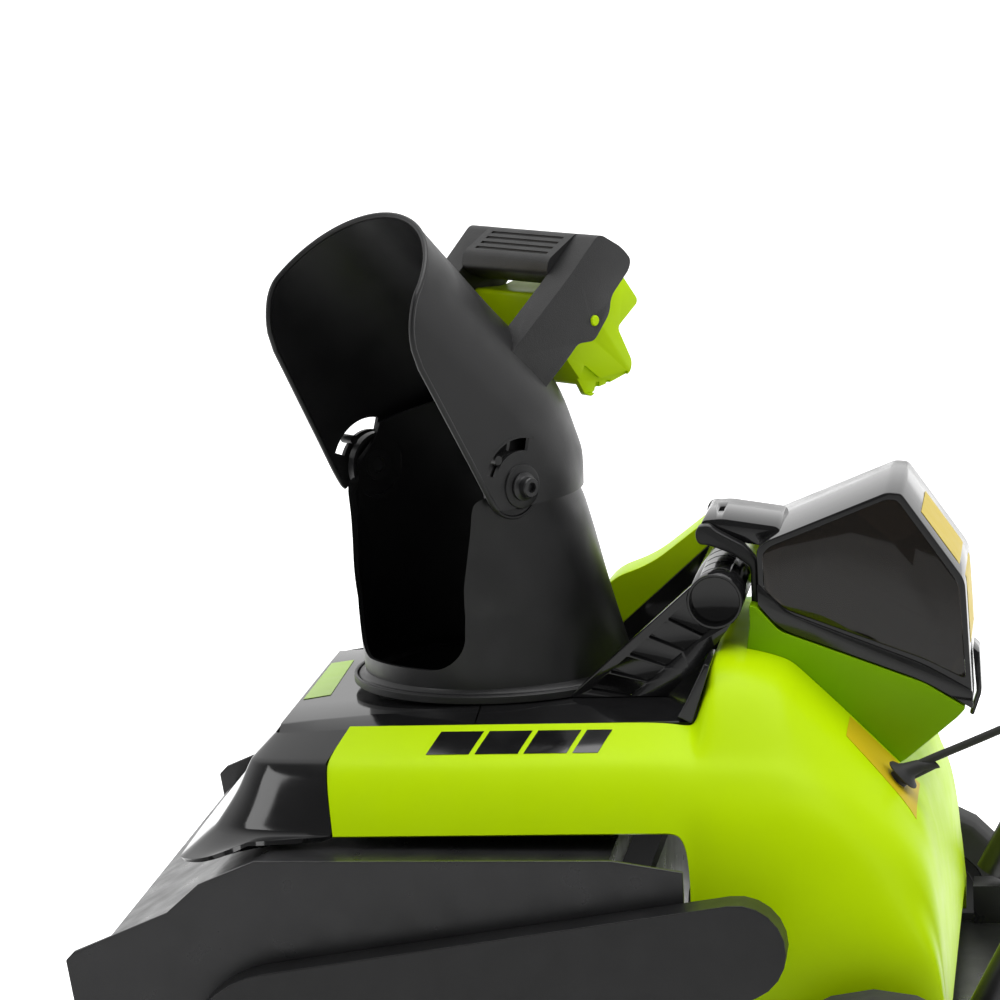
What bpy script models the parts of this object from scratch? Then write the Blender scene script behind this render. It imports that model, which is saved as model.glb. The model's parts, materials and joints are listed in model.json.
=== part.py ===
"""Cordless single-stage snow thrower with a turning chute and a tilting deflector.

Metres, +Z up, front of the machine towards -Y, machine's left towards +X.
The design is laid out with the chute's turning axis at x = y = 0 and the ground at z = 0,
then everything is moved by -MID_Y so that the origin is the middle of the footprint.
"""
import math

import bmesh
import bpy
from mathutils import Matrix, Vector

# ---------------------------------------------------------------- driving dimensions
GAP = 0.0004                     # clearance between touching pieces
WALL = 0.003                     # moulded wall thickness
HALF_WIDTH = 0.2557              # half of the auger housing's width
AUGER_Y, AUGER_Z = -0.115, 0.135  # auger shaft
AUGER_R = 0.1155
MOTOR_Y, MOTOR_Z = 0.185, 0.215
WHEEL_Y, WHEEL_R = 0.270, 0.090
BELT_X = 0.2690                  # middle plane of the belt
AUGER_PULLEY_R, MOTOR_PULLEY_R = 0.055, 0.018
DECK_Z = 0.339
DECK_EDGE = 0.1370
CHUTE_YAW = math.radians(48.5)   # the chute's rest position, turned to the machine's left
PIVOT_D, PIVOT_Z = 0.0445, 0.488  # deflector hinge in the chute's own frame
FOLD_Y, FOLD_Z = 0.560, 0.560    # fold axis of the upper handle
TUBE_X, TUBE_R = 0.190, 0.0125
GRIP_Y, GRIP_Z = 0.880, 0.985    # cross bar of the upper handle
LID_Y, LID_Z = 0.1530, 0.4450    # hinge of the battery lid
PACK_Y, PACK_Z = 0.208, 0.392    # corner of the sloped battery bay
FRONT_Y = -0.262
REAR_Y = GRIP_Y + 0.016
MID_Y = (FRONT_Y + REAR_Y) / 2

D_DIR = Vector((math.sin(CHUTE_YAW), -math.cos(CHUTE_YAW), 0))   # the way the chute throws
S_DIR = Vector((math.cos(CHUTE_YAW), math.sin(CHUTE_YAW), 0))    # along the deflector hinge
PACK_U = Vector((0, math.cos(math.radians(30)), -math.sin(math.radians(30))))
PACK_V = Vector((0, math.sin(math.radians(30)), math.cos(math.radians(30))))
SHIFT = Matrix.Translation((0, -MID_Y, 0))

LIME, DARK_LIME = (0.30, 0.66, 0.015), (0.10, 0.42, 0.02)
BLACK, GLOSS = (0.012, 0.012, 0.013), (0.006, 0.006, 0.008)
STEEL, ZINC, RUBBER = (0.30, 0.30, 0.31), (0.55, 0.55, 0.57), (0.02, 0.02, 0.02)
LOOKS = {
    "lime_plastic": (LIME, 0.35, 0.0), "dark_lime_plastic": (DARK_LIME, 0.38, 0.0),
    "black_plastic": (BLACK, 0.42, 0.0), "gloss_black": (GLOSS, 0.10, 0.0),
    "soft_grip": ((0.016, 0.016, 0.017), 0.75, 0.0), "steel": (STEEL, 0.35, 1.0),
    "zinc": (ZINC, 0.30, 1.0), "rubber": (RUBBER, 0.70, 0.0),
    "black_paint": ((0.02, 0.02, 0.02), 0.30, 0.3), "smoked_clear": ((0.03, 0.03, 0.035), 0.05, 0.0),
    "red_plastic": ((0.55, 0.03, 0.02), 0.35, 0.0),
}


# ---------------------------------------------------------------- tools
def clear_scene():
    for old in list(bpy.data.objects):
        bpy.data.objects.remove(old, do_unlink=True)


def material(node, look):
    colour, roughness, metallic = LOOKS[look]
    mat = bpy.data.materials.new(node + "_" + look)
    mat.use_nodes = True
    shader = mat.node_tree.nodes["Principled BSDF"]
    shader.inputs["Base Color"].default_value = (*colour, 1)
    shader.inputs["Roughness"].default_value = roughness
    shader.inputs["Metallic"].default_value = metallic
    return mat


def add(name, bm, look=None):
    """Turn a bmesh into an object with outward faces."""
    bmesh.ops.remove_doubles(bm, verts=bm.verts, dist=1e-6)
    bmesh.ops.recalc_face_normals(bm, faces=bm.faces)
    mesh = bpy.data.meshes.new(name)
    bm.to_mesh(mesh)
    bm.free()
    obj = bpy.data.objects.new(name, mesh)
    bpy.context.scene.collection.objects.link(obj)
    if look:
        mesh.materials.append(material(name, look))
    return obj


def bake(obj):
    """Replace the object's mesh by its evaluated mesh."""
    bpy.context.view_layer.update()
    graph = bpy.context.evaluated_depsgraph_get()
    mesh = bpy.data.meshes.new_from_object(obj.evaluated_get(graph))
    old = obj.data
    obj.modifiers.clear()
    obj.data = mesh
    bpy.data.meshes.remove(old)
    return obj


def boolean(obj, others, how="DIFFERENCE"):
    for other in others:
        mod = obj.modifiers.new(how, "BOOLEAN")
        mod.operation = how
        mod.solver = "EXACT"
        mod.object = other
        bake(obj)
        bpy.data.objects.remove(other, do_unlink=True)
    return obj


def bevel(obj, width, segments=2, angle=35):
    mod = obj.modifiers.new("edges", "BEVEL")
    mod.width = width
    mod.segments = segments
    mod.angle_limit = math.radians(angle)
    return bake(obj)


def paint(obj, look):
    """Give the finished object its one material."""
    obj.data.materials.clear()
    obj.data.materials.append(material(obj.name, look))
    return obj


def prism_bmesh(outline, place, low, high):
    bm = bmesh.new()
    ends = [[bm.verts.new(place(a, b, c)) for a, b in outline] for c in (low, high)]
    bm.faces.new(ends[0])
    bm.faces.new(ends[1])
    count = len(outline)
    for i in range(count):
        j = (i + 1) % count
        bm.faces.new((ends[0][i], ends[0][j], ends[1][j], ends[1][i]))
    return bm


def in_x(a, b, c):
    """An outline in the Y-Z plane, extruded along X."""
    return Vector((c, a, b))


def in_chute(a, b, c):
    """An outline in the chute's side view, extruded along the deflector hinge."""
    return D_DIR * a + S_DIR * c + Vector((0, 0, b))


def front_chute(a, b, c):
    """An outline across the chute's mouth, extruded along the way it throws."""
    return S_DIR * a + D_DIR * c + Vector((0, 0, b))


def in_pack(a, b, c):
    """An outline in the sloped battery bay, extruded along X."""
    return Vector((c, PACK_Y, PACK_Z)) + PACK_U * a + PACK_V * b


def in_z(a, b, c):
    return Vector((a, b, c))


def prism(name, outline, place, low, high, look=None):
    return add(name, prism_bmesh(outline, place, low, high), look)


def box_outline(a0, b0, a1, b1):
    return [(a0, b0), (a1, b0), (a1, b1), (a0, b1)]


def circle(a, b, radius, sides=24, start=0.0):
    step = 2 * math.pi / sides
    return [(a + radius * math.cos(start + step * i), b + radius * math.sin(start + step * i))
            for i in range(sides)]


def arc(a, b, radius, first, last, steps):
    turn = [math.radians(first + (last - first) * i / steps) for i in range(steps + 1)]
    return [(a + radius * math.cos(t), b + radius * math.sin(t)) for t in turn]


def slot_outline(first, last, half_width, sides=8):
    """A straight slot with round ends between two points."""
    lean = math.degrees(math.atan2(last[1] - first[1], last[0] - first[0]))
    return (arc(*last, half_width, lean - 90, lean + 90, sides)
            + arc(*first, half_width, lean + 90, lean + 270, sides))


def turned(name, profile, origin, axis, sides=32, look=None):
    """Revolve a closed (radius, along) profile about an axis."""
    axis = Vector(axis).normalized()
    up = Vector((0, 0, 1)) if abs(axis.z) < 0.9 else Vector((0, 1, 0))
    side = axis.cross(up).normalized()
    other = axis.cross(side)
    bm = bmesh.new()
    rings = []
    for i in range(sides):
        turn = 2 * math.pi * i / sides
        out = side * math.cos(turn) + other * math.sin(turn)
        rings.append([bm.verts.new(Vector(origin) + out * r + axis * h) for r, h in profile])
    count = len(profile)
    for i in range(sides):
        here, there = rings[i], rings[(i + 1) % sides]
        for j in range(count):
            k = (j + 1) % count
            if profile[j][0] or profile[k][0]:
                bm.faces.new((here[j], here[k], there[k], there[j]))
    return add(name, bm, look)


def rod(name, origin, axis, radius, low, high, sides=24, look=None):
    return turned(name, [(0, low), (radius, low), (radius, high), (0, high)],
                  origin, axis, sides, look)


def ring(name, origin, axis, inner, outer, low, high, sides=32, look=None):
    return turned(name, [(inner, low), (outer, low), (outer, high), (inner, high)],
                  origin, axis, sides, look)


def sheet(name, rows, thickness, look=None, closed=False, offset=-1):
    """A solid shell on a grid of points; closed joins the last column to the first."""
    bm = bmesh.new()
    grid = [[bm.verts.new(p) for p in row] for row in rows]
    count = len(grid[0])
    for low, high in zip(grid, grid[1:]):
        for i in range(count if closed else count - 1):
            j = (i + 1) % count
            bm.faces.new((low[i], low[j], high[j], high[i]))
    mesh = bpy.data.meshes.new(name)
    bm.to_mesh(mesh)
    bm.free()
    obj = bpy.data.objects.new(name, mesh)
    bpy.context.scene.collection.objects.link(obj)
    mod = obj.modifiers.new("wall", "SOLIDIFY")
    mod.thickness = thickness
    mod.offset = offset
    mod.use_even_offset = True
    bake(obj)
    if look:
        obj.data.materials.append(material(name, look))
    return obj


def shell(name, outer, inner, look=None):
    """A closed wall between two matching grids whose columns run all the way round."""
    bm = bmesh.new()
    skins = [[[bm.verts.new(p) for p in row] for row in skin] for skin in (outer, inner)]
    count = len(outer[0])
    for i in range(count):
        j = (i + 1) % count
        for skin in skins:
            for low, high in zip(skin, skin[1:]):
                bm.faces.new((low[i], low[j], high[j], high[i]))
        for end in (0, -1):
            a, b = skins[0][end], skins[1][end]
            bm.faces.new((a[i], a[j], b[j], b[i]))
    return add(name, bm, look)


def smooth_path(points, steps=6):
    """Catmull-Rom curve through the points."""
    pts = [Vector(p) for p in points]
    pts = [2 * pts[0] - pts[1]] + pts + [2 * pts[-1] - pts[-2]]
    path = []
    for a, b, c, d in zip(pts, pts[1:], pts[2:], pts[3:]):
        for i in range(steps):
            t = i / steps
            path.append(0.5 * (2 * b + (c - a) * t + (2 * a - 5 * b + 4 * c - d) * t * t
                               + (3 * b - a - 3 * c + d) * t ** 3))
    return path + [pts[-2]]


def round_bends(points, radius, steps=4):
    """Straight runs with circular-looking bends of about the given radius."""
    pts = [Vector(p) for p in points]
    path = [pts[0]]
    for before, here, after in zip(pts, pts[1:], pts[2:]):
        start = here + (before - here).normalized() * radius
        end = here + (after - here).normalized() * radius
        for i in range(steps + 1):
            t = i / steps
            path.append(start * (1 - t) ** 2 + 2 * here * t * (1 - t) + end * t * t)
    return path + [pts[-1]]


def pipe(name, path, outer, inner=0.0, sides=16, look=None):
    """A round tube along a path; with an inner radius it is hollow and open at both ends."""
    bm = bmesh.new()
    rings = {outer: [], inner: []}
    across = None
    for i, point in enumerate(path):
        ahead = path[min(i + 1, len(path) - 1)] - path[max(i - 1, 0)]
        ahead.normalize()
        across = (across - ahead * across.dot(ahead)).normalized() if across else ahead.orthogonal().normalized()
        other = ahead.cross(across)
        for radius in (outer, inner):
            if radius > 0:
                rings[radius].append([
                    bm.verts.new(point + (across * math.cos(2 * math.pi * j / sides)
                                          + other * math.sin(2 * math.pi * j / sides)) * radius)
                    for j in range(sides)])
    for radius in (outer, inner):
        for low, high in zip(rings[radius], rings[radius][1:]):
            for j in range(sides):
                k = (j + 1) % sides
                bm.faces.new((low[j], low[k], high[k], high[j]))
    for end in (0, -1):
        if inner > 0:
            for j in range(sides):
                k = (j + 1) % sides
                bm.faces.new((rings[outer][end][j], rings[outer][end][k],
                              rings[inner][end][k], rings[inner][end][j]))
        else:
            bm.faces.new(rings[outer][end])
    return add(name, bm, look)


def mix(table, value):
    """Piecewise linear reading of a (key, value) table."""
    if value <= table[0][0]:
        return table[0][1]
    for (k0, v0), (k1, v1) in zip(table, table[1:]):
        if value <= k1:
            return v0 + (v1 - v0) * (value - k0) / (k1 - k0)
    return table[-1][1]


# ---------------------------------------------------------------- auger end
def housing_outline():
    """Side view of the housing's skin, from the scraper round the auger to the front lip."""
    return (arc(AUGER_Y, AUGER_Z, 0.130, -58, 20, 9)
            + [(0.085, 0.222), (0.098, 0.240), (0.098, 0.262), (-0.130, 0.266),
               (-0.165, 0.252), (-0.188, 0.232), (-0.250, 0.200)])


def make_housing():
    rows = [[Vector((x, y, z)) for y, z in housing_outline()] for x in (-HALF_WIDTH, HALF_WIDTH)]
    shell = sheet("auger_housing", rows, 0.004, offset=-1)
    boolean(shell, [ring("funnel", (0, 0, 0), (0, 0, 1), 0.0850, 0.0935, 0.2630, 0.3300, 32)], "UNION")
    boolean(shell, [rod("hole", (0, 0, 0.2), (0, 0, 1), 0.0895, 0, 0.15, 32)])
    paint(shell, "black_paint")
    outline = [(-0.262, 0.206), (-0.246, 0.090), (-0.205, 0.020), (-0.150, 0.0), (0.045, 0.0),
               (0.130, 0.095), (0.150, 0.130), (0.150, 0.262), (0.104, 0.270), (-0.132, 0.272),
               (-0.170, 0.257), (-0.192, 0.238), (-0.256, 0.212)]
    for side, name in ((1, "side_plate_left"), (-1, "side_plate_right")):
        low, high = sorted((side * (HALF_WIDTH + GAP), side * (HALF_WIDTH + GAP + 0.004)))
        plate = prism(name, outline, in_x, low, high, "black_paint")
        if side < 0:
            boolean(plate, [rod("cap", (0, AUGER_Y, AUGER_Z), (1, 0, 0), 0.034, -0.2860, -0.2590, 24)],
                    "UNION")
            boolean(plate, [rod("inner", (0, AUGER_Y, AUGER_Z), (1, 0, 0), 0.024, -0.2830, -0.2604, 24)])
        boolean(plate, [rod("bore", (0, AUGER_Y, AUGER_Z), (1, 0, 0), 0.0175, low - 0.001 if side > 0
                             else -0.2700, high + 0.001, 24)])
    prism("scraper_bar", [(-0.062, 0.0), (-0.020, 0.0), (-0.030, 0.0185), (-0.048, 0.0185)],
          in_x, -HALF_WIDTH + 0.002, HALF_WIDTH - 0.002, "steel")


def make_auger():
    rod("auger_shaft", (0, AUGER_Y, AUGER_Z), (1, 0, 0), 0.0085, -0.2690, 0.2775, 20, "steel")
    ring("auger_core", (0, AUGER_Y, AUGER_Z), (1, 0, 0), 0.0086, 0.0270, -0.2440, 0.2440, 20,
         "black_plastic")
    for lobe, name in enumerate(("auger_paddle_a", "auger_paddle_b")):
        rows = []
        for i in range(13):
            x = -0.242 + 0.484 * i / 12
            reach = min(1.0, abs(x) / 0.060)
            twist = math.pi * lobe + 0.9 * reach ** 2 * (abs(x) - 0.03) / 0.21
            row = []
            for j in range(4):
                r = 0.0276 + (AUGER_R - 0.0276) * j / 3
                bend = twist - 0.35 * (j / 3) ** 2
                row.append(Vector((x, AUGER_Y + r * math.cos(bend), AUGER_Z + r * math.sin(bend))))
            rows.append(row)
        sheet(name, rows, 0.005, "rubber", offset=0)
    for name, ends in (("auger_bearing_left", (0.2520, 0.2610)), ("auger_bearing_right", (-0.2640, -0.2520))):
        ring(name, (0, AUGER_Y, AUGER_Z), (1, 0, 0), 0.0089, 0.0172, *ends, 24, "zinc")


def belt_loop(extra):
    """Outline of a belt round both pulleys, standing off their rims by extra."""
    big, small = AUGER_PULLEY_R + extra, MOTOR_PULLEY_R + extra
    along = Vector((MOTOR_Y - AUGER_Y, MOTOR_Z - AUGER_Z))
    lean = math.degrees(math.atan2(along.y, along.x))
    open_angle = math.degrees(math.acos((big - small) / along.length))
    return (arc(MOTOR_Y, MOTOR_Z, small, lean - open_angle, lean + open_angle, 10)
            + arc(AUGER_Y, AUGER_Z, big, lean + open_angle, lean + 360 - open_angle, 20))


def pulley(name, centre, radius, bore, look):
    lip = radius + 0.003
    profile = [(bore, -0.0060), (lip, -0.0060), (lip, -0.0048), (radius, -0.0040),
               (radius, 0.0040), (lip, 0.0048), (lip, 0.0060), (bore, 0.0060)]
    return turned(name, profile, (BELT_X, *centre), (1, 0, 0), 16, look)


def make_drive():
    motor = rod("motor", (0, MOTOR_Y, MOTOR_Z), (1, 0, 0), 0.042, 0.075, 0.165, 32, "steel")
    boolean(motor, [rod("bore", (0, MOTOR_Y, MOTOR_Z), (1, 0, 0), 0.0056, 0.07, 0.17, 20)])
    paint(motor, "steel")
    rod("motor_shaft", (0, MOTOR_Y, MOTOR_Z), (1, 0, 0), 0.0050, 0.0700, 0.2775, 16, "zinc")
    pulley("motor_pulley", (MOTOR_Y, MOTOR_Z), MOTOR_PULLEY_R, 0.0053, "zinc")
    pulley("auger_pulley", (AUGER_Y, AUGER_Z), AUGER_PULLEY_R, 0.0090, "black_plastic")
    belt = prism("drive_belt", belt_loop(0.0042), in_x, BELT_X - 0.0036, BELT_X + 0.0036, "rubber")
    boolean(belt, [prism("inner", belt_loop(0.0004), in_x, 0.2, 0.3)])
    belt.data.materials.append(material("drive_belt", "rubber"))
    cover = prism("belt_cover", belt_loop(0.0140), in_x, 0.2604 + GAP, 0.2860, "black_plastic")
    boolean(cover, [prism("inner", belt_loop(0.0115), in_x, 0.2500, 0.2835)])


# ---------------------------------------------------------------- body
def make_chassis():
    base = prism("chassis", [(0.108, 0.104), (0.352, 0.104), (0.352, 0.100), (0.108, 0.100)],
                 in_x, -0.2050, 0.2050, "black_paint")
    parts = []
    for side in (-1, 1):
        for x in (0.150, 0.198):
            low, high = sorted((side * x, side * (x + 0.006)))
            if x < 0.19:
                parts.append(prism("lug", [(0.255, 0.102), (0.285, 0.102), (0.280, 0.078),
                                           (0.260, 0.078)], in_x, low, high))
        low, high = sorted((side * 0.1755, side * 0.2045))
        parts.append(prism("foot", [(0.322, 0.102), (0.350, 0.102), (0.350, 0.1325), (0.322, 0.1325)],
                           in_x, low, high))
    parts.append(prism("web", [(0.108, 0.102), (0.112, 0.102), (0.112, 0.215), (0.108, 0.215)],
                       in_x, -0.2050, 0.2050))
    boolean(base, parts, "UNION")
    boolean(base, [rod("bore", (0, WHEEL_Y, WHEEL_R), (1, 0, 0), 0.0062, -0.3, 0.3, 20)])
    rod("axle", (0, WHEEL_Y, WHEEL_R), (1, 0, 0), 0.0060, -0.2835, 0.2835, 16, "steel")
    for side, name in ((1, "left"), (-1, "right")):
        centre = (side * 0.2600, WHEEL_Y, WHEEL_R)
        tread = [(0.066, -0.0190), (0.082, -0.0215), (0.0875, -0.0190), (0.090, -0.0120),
                 (0.090, 0.0120), (0.0875, 0.0190), (0.082, 0.0215), (0.066, 0.0190)]
        turned("tyre_" + name, tread, centre, (1, 0, 0), 20, "rubber")
        dish = [(0.0063, -0.0200), (0.017, -0.0200), (0.017, -0.0050), (0.056, -0.0050),
                (0.058, -0.0180), (0.0657, -0.0180), (0.0657, 0.0180), (0.058, 0.0180),
                (0.056, 0.0050), (0.020, 0.0080), (0.017, 0.0200), (0.0063, 0.0200)]
        turned("wheel_" + name, dish, centre, (1, 0, 0), 20, "black_plastic")


def mirror_row(half):
    """Points given for x >= 0, starting at x = 0, completed for both sides."""
    left = [Vector((-x, y, z)) for x, y, z in reversed(half[1:])]
    return left + [Vector(p) for p in half]


def make_front_hood():
    rows = [
        [(0, -0.1390, 0.3285), (0.060, -0.1390, 0.3285), (0.1300, -0.1390, 0.3285),
         (0.1365, -0.1340, 0.3290), (0.1425, -0.0850, 0.3325)],
        [(0, -0.1500, 0.3160), (0.070, -0.1500, 0.3160), (0.140, -0.1500, 0.3155),
         (0.1600, -0.1370, 0.3150), (0.1765, -0.1065, 0.3160)],
        [(0, -0.1650, 0.2960), (0.075, -0.1650, 0.2960), (0.150, -0.1650, 0.2950),
         (0.1750, -0.1500, 0.2940), (0.1885, -0.1122, 0.2940)],
        [(0, -0.1780, 0.2740), (0.080, -0.1780, 0.2740), (0.160, -0.1770, 0.2730),
         (0.1860, -0.1620, 0.2730), (0.2010, -0.1145, 0.2730)],
        [(0, -0.2000, 0.2560), (0.090, -0.2000, 0.2560), (0.185, -0.1980, 0.2560),
         (0.2120, -0.1780, 0.2600), (0.2130, -0.1450, 0.2730)]]
    sheet("front_hood", [mirror_row(r) for r in rows], WALL, "gloss_black", offset=1)


def deck_section(y, half, z):
    return mirror_row([(0, y, z), (half * 0.5, y, z), (half, y, z), (DECK_EDGE, y, z - 0.0055)])


def make_decks():
    front = [deck_section(-0.1365, 0.118, 0.3320), deck_section(-0.083, 0.112, 0.3352),
             deck_section(-0.0006, 0.105, DECK_Z)]
    rear = [deck_section(0.0006, 0.105, DECK_Z), deck_section(0.1480, 0.105, DECK_Z)]
    for name, rows in (("deck_front", front), ("deck_rear", rear)):
        rows[0][0].x, rows[0][-1].x = (-0.127, 0.127) if name == "deck_front" else (-DECK_EDGE, DECK_EDGE)
        panel = sheet(name, rows, WALL, offset=-1)
        boolean(panel, [rod("hole", (0, 0, 0), (0, 0, 1), 0.0895, 0.3, 0.36, 48)])
        paint(panel, "gloss_black")
    collar = [(0.0875, 0.3305), (0.0890, 0.3305), (0.0890, 0.3396), (0.1035, 0.3396),
              (0.1035, 0.3452), (0.1012, 0.3452), (0.1012, 0.3412), (0.0875, 0.3412)]
    turned("chute_collar", collar, (0, 0, 0), (0, 0, 1), 32, "black_plastic")


def make_side_covers():
    stations = [(-0.083, -0.1040, -0.1095, -0.1110), (-0.020, -0.020, -0.020, -0.020),
                (0.060, 0.060, 0.060, 0.060), (0.1485, 0.1485, 0.1485, 0.1485)]
    section = [(0.1412, 0.3345), (0.1780, 0.3160), (0.1900, 0.2940), (0.2020, 0.2740)]
    for side, name in ((1, "side_cover_left"), (-1, "side_cover_right")):
        rows = [[Vector((side * x, y, z)) for (x, z), y in zip(section, column)]
                for column in stations]
        if side < 0:
            rows = rows[::-1]
        sheet(name, rows, WALL, "lime_plastic")


def rear_section(y, z, crease_z, spread):
    drop = z - crease_z
    return mirror_row([(0, y, z), (0.080, y, z), (0.120, y, z - 0.02 * drop),
                       (0.146, y, z - 0.30 * drop), (0.172, y, crease_z + 0.03 * drop),
                       (0.180, y, crease_z - 0.004), (0.203 + spread, y, min(0.272, crease_z - 0.03)),
                       (0.222 + spread, y, 0.200), (0.226 + spread, y, 0.130)])


def make_motor_cover():
    rows = [rear_section(0.1500, 0.3370, 0.316, 0.0), rear_section(0.1545, 0.3550, 0.316, 0.0),
            rear_section(0.1610, 0.3710, 0.316, 0.001), rear_section(0.2110, 0.3610, 0.315, 0.003),
            rear_section(0.2480, 0.3240, 0.300, 0.002), rear_section(0.2990, 0.2710, 0.258, -0.004)]
    back = rear_section(0.3150, 0.2300, 0.222, -0.012)
    low = rear_section(0.3170, 0.1350, 0.1345, -0.014)
    for row in (back, low):
        top = row[len(row) // 2].z
        for p in row:
            p.z = min(p.z, top)
    cover = sheet("motor_cover", rows + [back, low], WALL)
    cut = prism("bay", tower_outline(0.0006), in_x, -0.0706, 0.0706)
    holes = [rod("shaft_hole", (0, MOTOR_Y, MOTOR_Z), (1, 0, 0), 0.009, 0.20, 0.30, 20),
             rod("cable_hole", CABLE_EXIT, CABLE_OUT, 0.0072, -0.03, 0.03, 20)]
    boolean(cover, [cut] + holes)
    paint(cover, "lime_plastic")


CABLE_EXIT = Vector((0.1170, 0.2836, 0.2873))
CABLE_OUT = Vector((0, 0.721, 0.693)).normalized()


def tower_outline(grow=0.0):
    g = grow
    return [(0.1830 - g, 0.3985 + g), (0.1880, 0.3975 + g), (0.2030, 0.3803 + g), (0.3010, 0.3424 + g),
            (0.3285 + g, 0.3250 + g), (0.3225 + g, 0.3100),
            (0.3000 + g, 0.2720 - g), (0.2720, 0.2840 - g), (0.1760 - g, 0.3400 - g), (0.1830 - g, 0.3850)]


def make_tower():
    tower = prism("battery_tower", tower_outline(), in_x, -0.0700, 0.0700)
    boolean(tower, [prism("bay", box_outline(0.0, -0.0520, 0.1000, 0.0600), in_pack, -0.0520, 0.0520)])
    arms = []
    for side in (-1, 1):
        low, high = sorted((side * 0.0420, side * 0.0520))
        arms.append(prism("arm", [(0.1835, 0.3950), (0.1880, 0.3950), (0.1880, 0.4270), (0.1800, 0.4370),
                                  (0.1600, 0.4480), (0.1560, 0.4520), (0.1480, 0.4510), (0.1460, 0.4450),
                                  (0.1480, 0.4385), (0.1560, 0.4375), (0.1720, 0.4310), (0.1835, 0.4220)],
                          in_x, low, high))
    boolean(tower, arms, "UNION")
    boolean(tower, [rod("bore", (0, LID_Y, LID_Z), (1, 0, 0), 0.0031, -0.1, 0.1, 16)])
    paint(tower, "dark_lime_plastic")
    hump = prism("drive_hump", [(0.045, 0.3405), (0.062, 0.3740), (0.072, 0.3880), (0.100, 0.3980),
                                (0.150, 0.4355), (0.1620, 0.4320), (0.2080, 0.3850), (0.2080, 0.3825),
                                (0.1640, 0.3835), (0.1490, 0.3700), (0.1460, 0.3405)],
                 in_x, -0.1370, -0.0930, "lime_plastic")
    bevel(hump, 0.004, 2)


def make_battery():
    pack = prism("battery_pack", box_outline(0.0020, -0.0450, 0.0980, 0.0400), in_pack, -0.0480, 0.0480,
                 "black_plastic")
    top = prism("top", box_outline(0.0120, 0.0380, 0.0900, 0.0520), in_pack, -0.0400, 0.0400)
    boolean(pack, [top], "UNION")
    bevel(pack, 0.0025, 2)
    boolean(pack, [prism("pocket", box_outline(0.0300, 0.0470, 0.0600, 0.0600), in_pack, -0.0150, 0.0150),
                   prism("socket", box_outline(0.0300, -0.0500, 0.0700, -0.0350), in_pack, -0.0300, 0.0300)])
    prism("battery_button", box_outline(0.0305, 0.0495, 0.0595, 0.0560), in_pack, -0.0145, 0.0145,
          "red_plastic")
    dock = prism("battery_terminals", box_outline(0.0350, -0.0516, 0.0650, -0.0470), in_pack,
                 -0.0270, 0.0270, "zinc")
    blades = [prism("blade", box_outline(0.0400, -0.0480, 0.0600, -0.0370), in_pack, x, x + 0.0015)
              for x in (-0.022, -0.010, 0.0085, 0.0205)]
    boolean(dock, blades, "UNION")
    prism("controller", box_outline(0.245, 0.1200, 0.300, 0.2000), in_x, -0.0600, 0.0200, "black_plastic")


def lid_outline(inset=0.0, drop=0.0):
    """Side view of the lid; the lower three points are its open edge."""
    i = inset
    return [(0.1890 + i, 0.4370 - i * 0.3), (0.1960 + i * 0.6, 0.4425 - i), (0.2790, 0.4745 - i * 1.1),
            (0.2885 - i * 0.6, 0.4735 - i), (0.3300 - i, 0.4127 - i * 0.2), (0.3330 - i, 0.3240 - drop),
            (0.3010, 0.3438 - drop), (0.2034, 0.3817 - drop), (0.1890 + i, 0.3990 - drop)]


def window_outline(inset):
    i = inset
    return [(0.2120 + i, 0.4000 + i * 0.5), (0.1990 + i, 0.4270), (0.2030 + i, 0.4385 - i),
            (0.2775, 0.4660 - i), (0.2845 - i * 0.6, 0.4640 - i), (0.3230 - i, 0.4080),
            (0.3265 - i, 0.3520 + i), (0.3010, 0.3640 + i)]


def make_lid():
    lid = prism("battery_lid", lid_outline(), in_x, -0.0660, 0.0660)
    boolean(lid, [prism("inside", lid_outline(0.0030, 0.0100), in_x, -0.0630, 0.0630)])
    boolean(lid, [prism("opening", window_outline(0), in_x, -0.1, 0.1)])
    arms = [prism("arm", [(0.1480, 0.4420), (0.1560, 0.4405), (0.1950, 0.4340), (0.1960, 0.4415),
                          (0.1600, 0.4510), (0.1500, 0.4510)], in_x, -0.0405, 0.0405)]
    boolean(lid, arms, "UNION")
    boolean(lid, [rod("bore", (0, LID_Y, LID_Z), (1, 0, 0), 0.0031, -0.1, 0.1, 16)])
    paint(lid, "gloss_black")
    for side, name in ((1, "lid_window_left"), (-1, "lid_window_right")):
        prism(name, window_outline(0.0006), in_x, *sorted((side * 0.0632, side * 0.0655)), "smoked_clear")
    rod("lid_hinge_pin", (0, LID_Y, LID_Z), (1, 0, 0), 0.0030, -0.0530, 0.0530, 12, "zinc")
    latch = prism("lid_latch", [(0.3326, 0.3560), (0.3370, 0.3520), (0.3378, 0.3240), (0.3320, 0.3080),
                                (0.3290, 0.3092), (0.3344, 0.3240)], in_x, -0.0180, 0.0180, "gloss_black")
    bevel(latch, 0.0008, 1)


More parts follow.
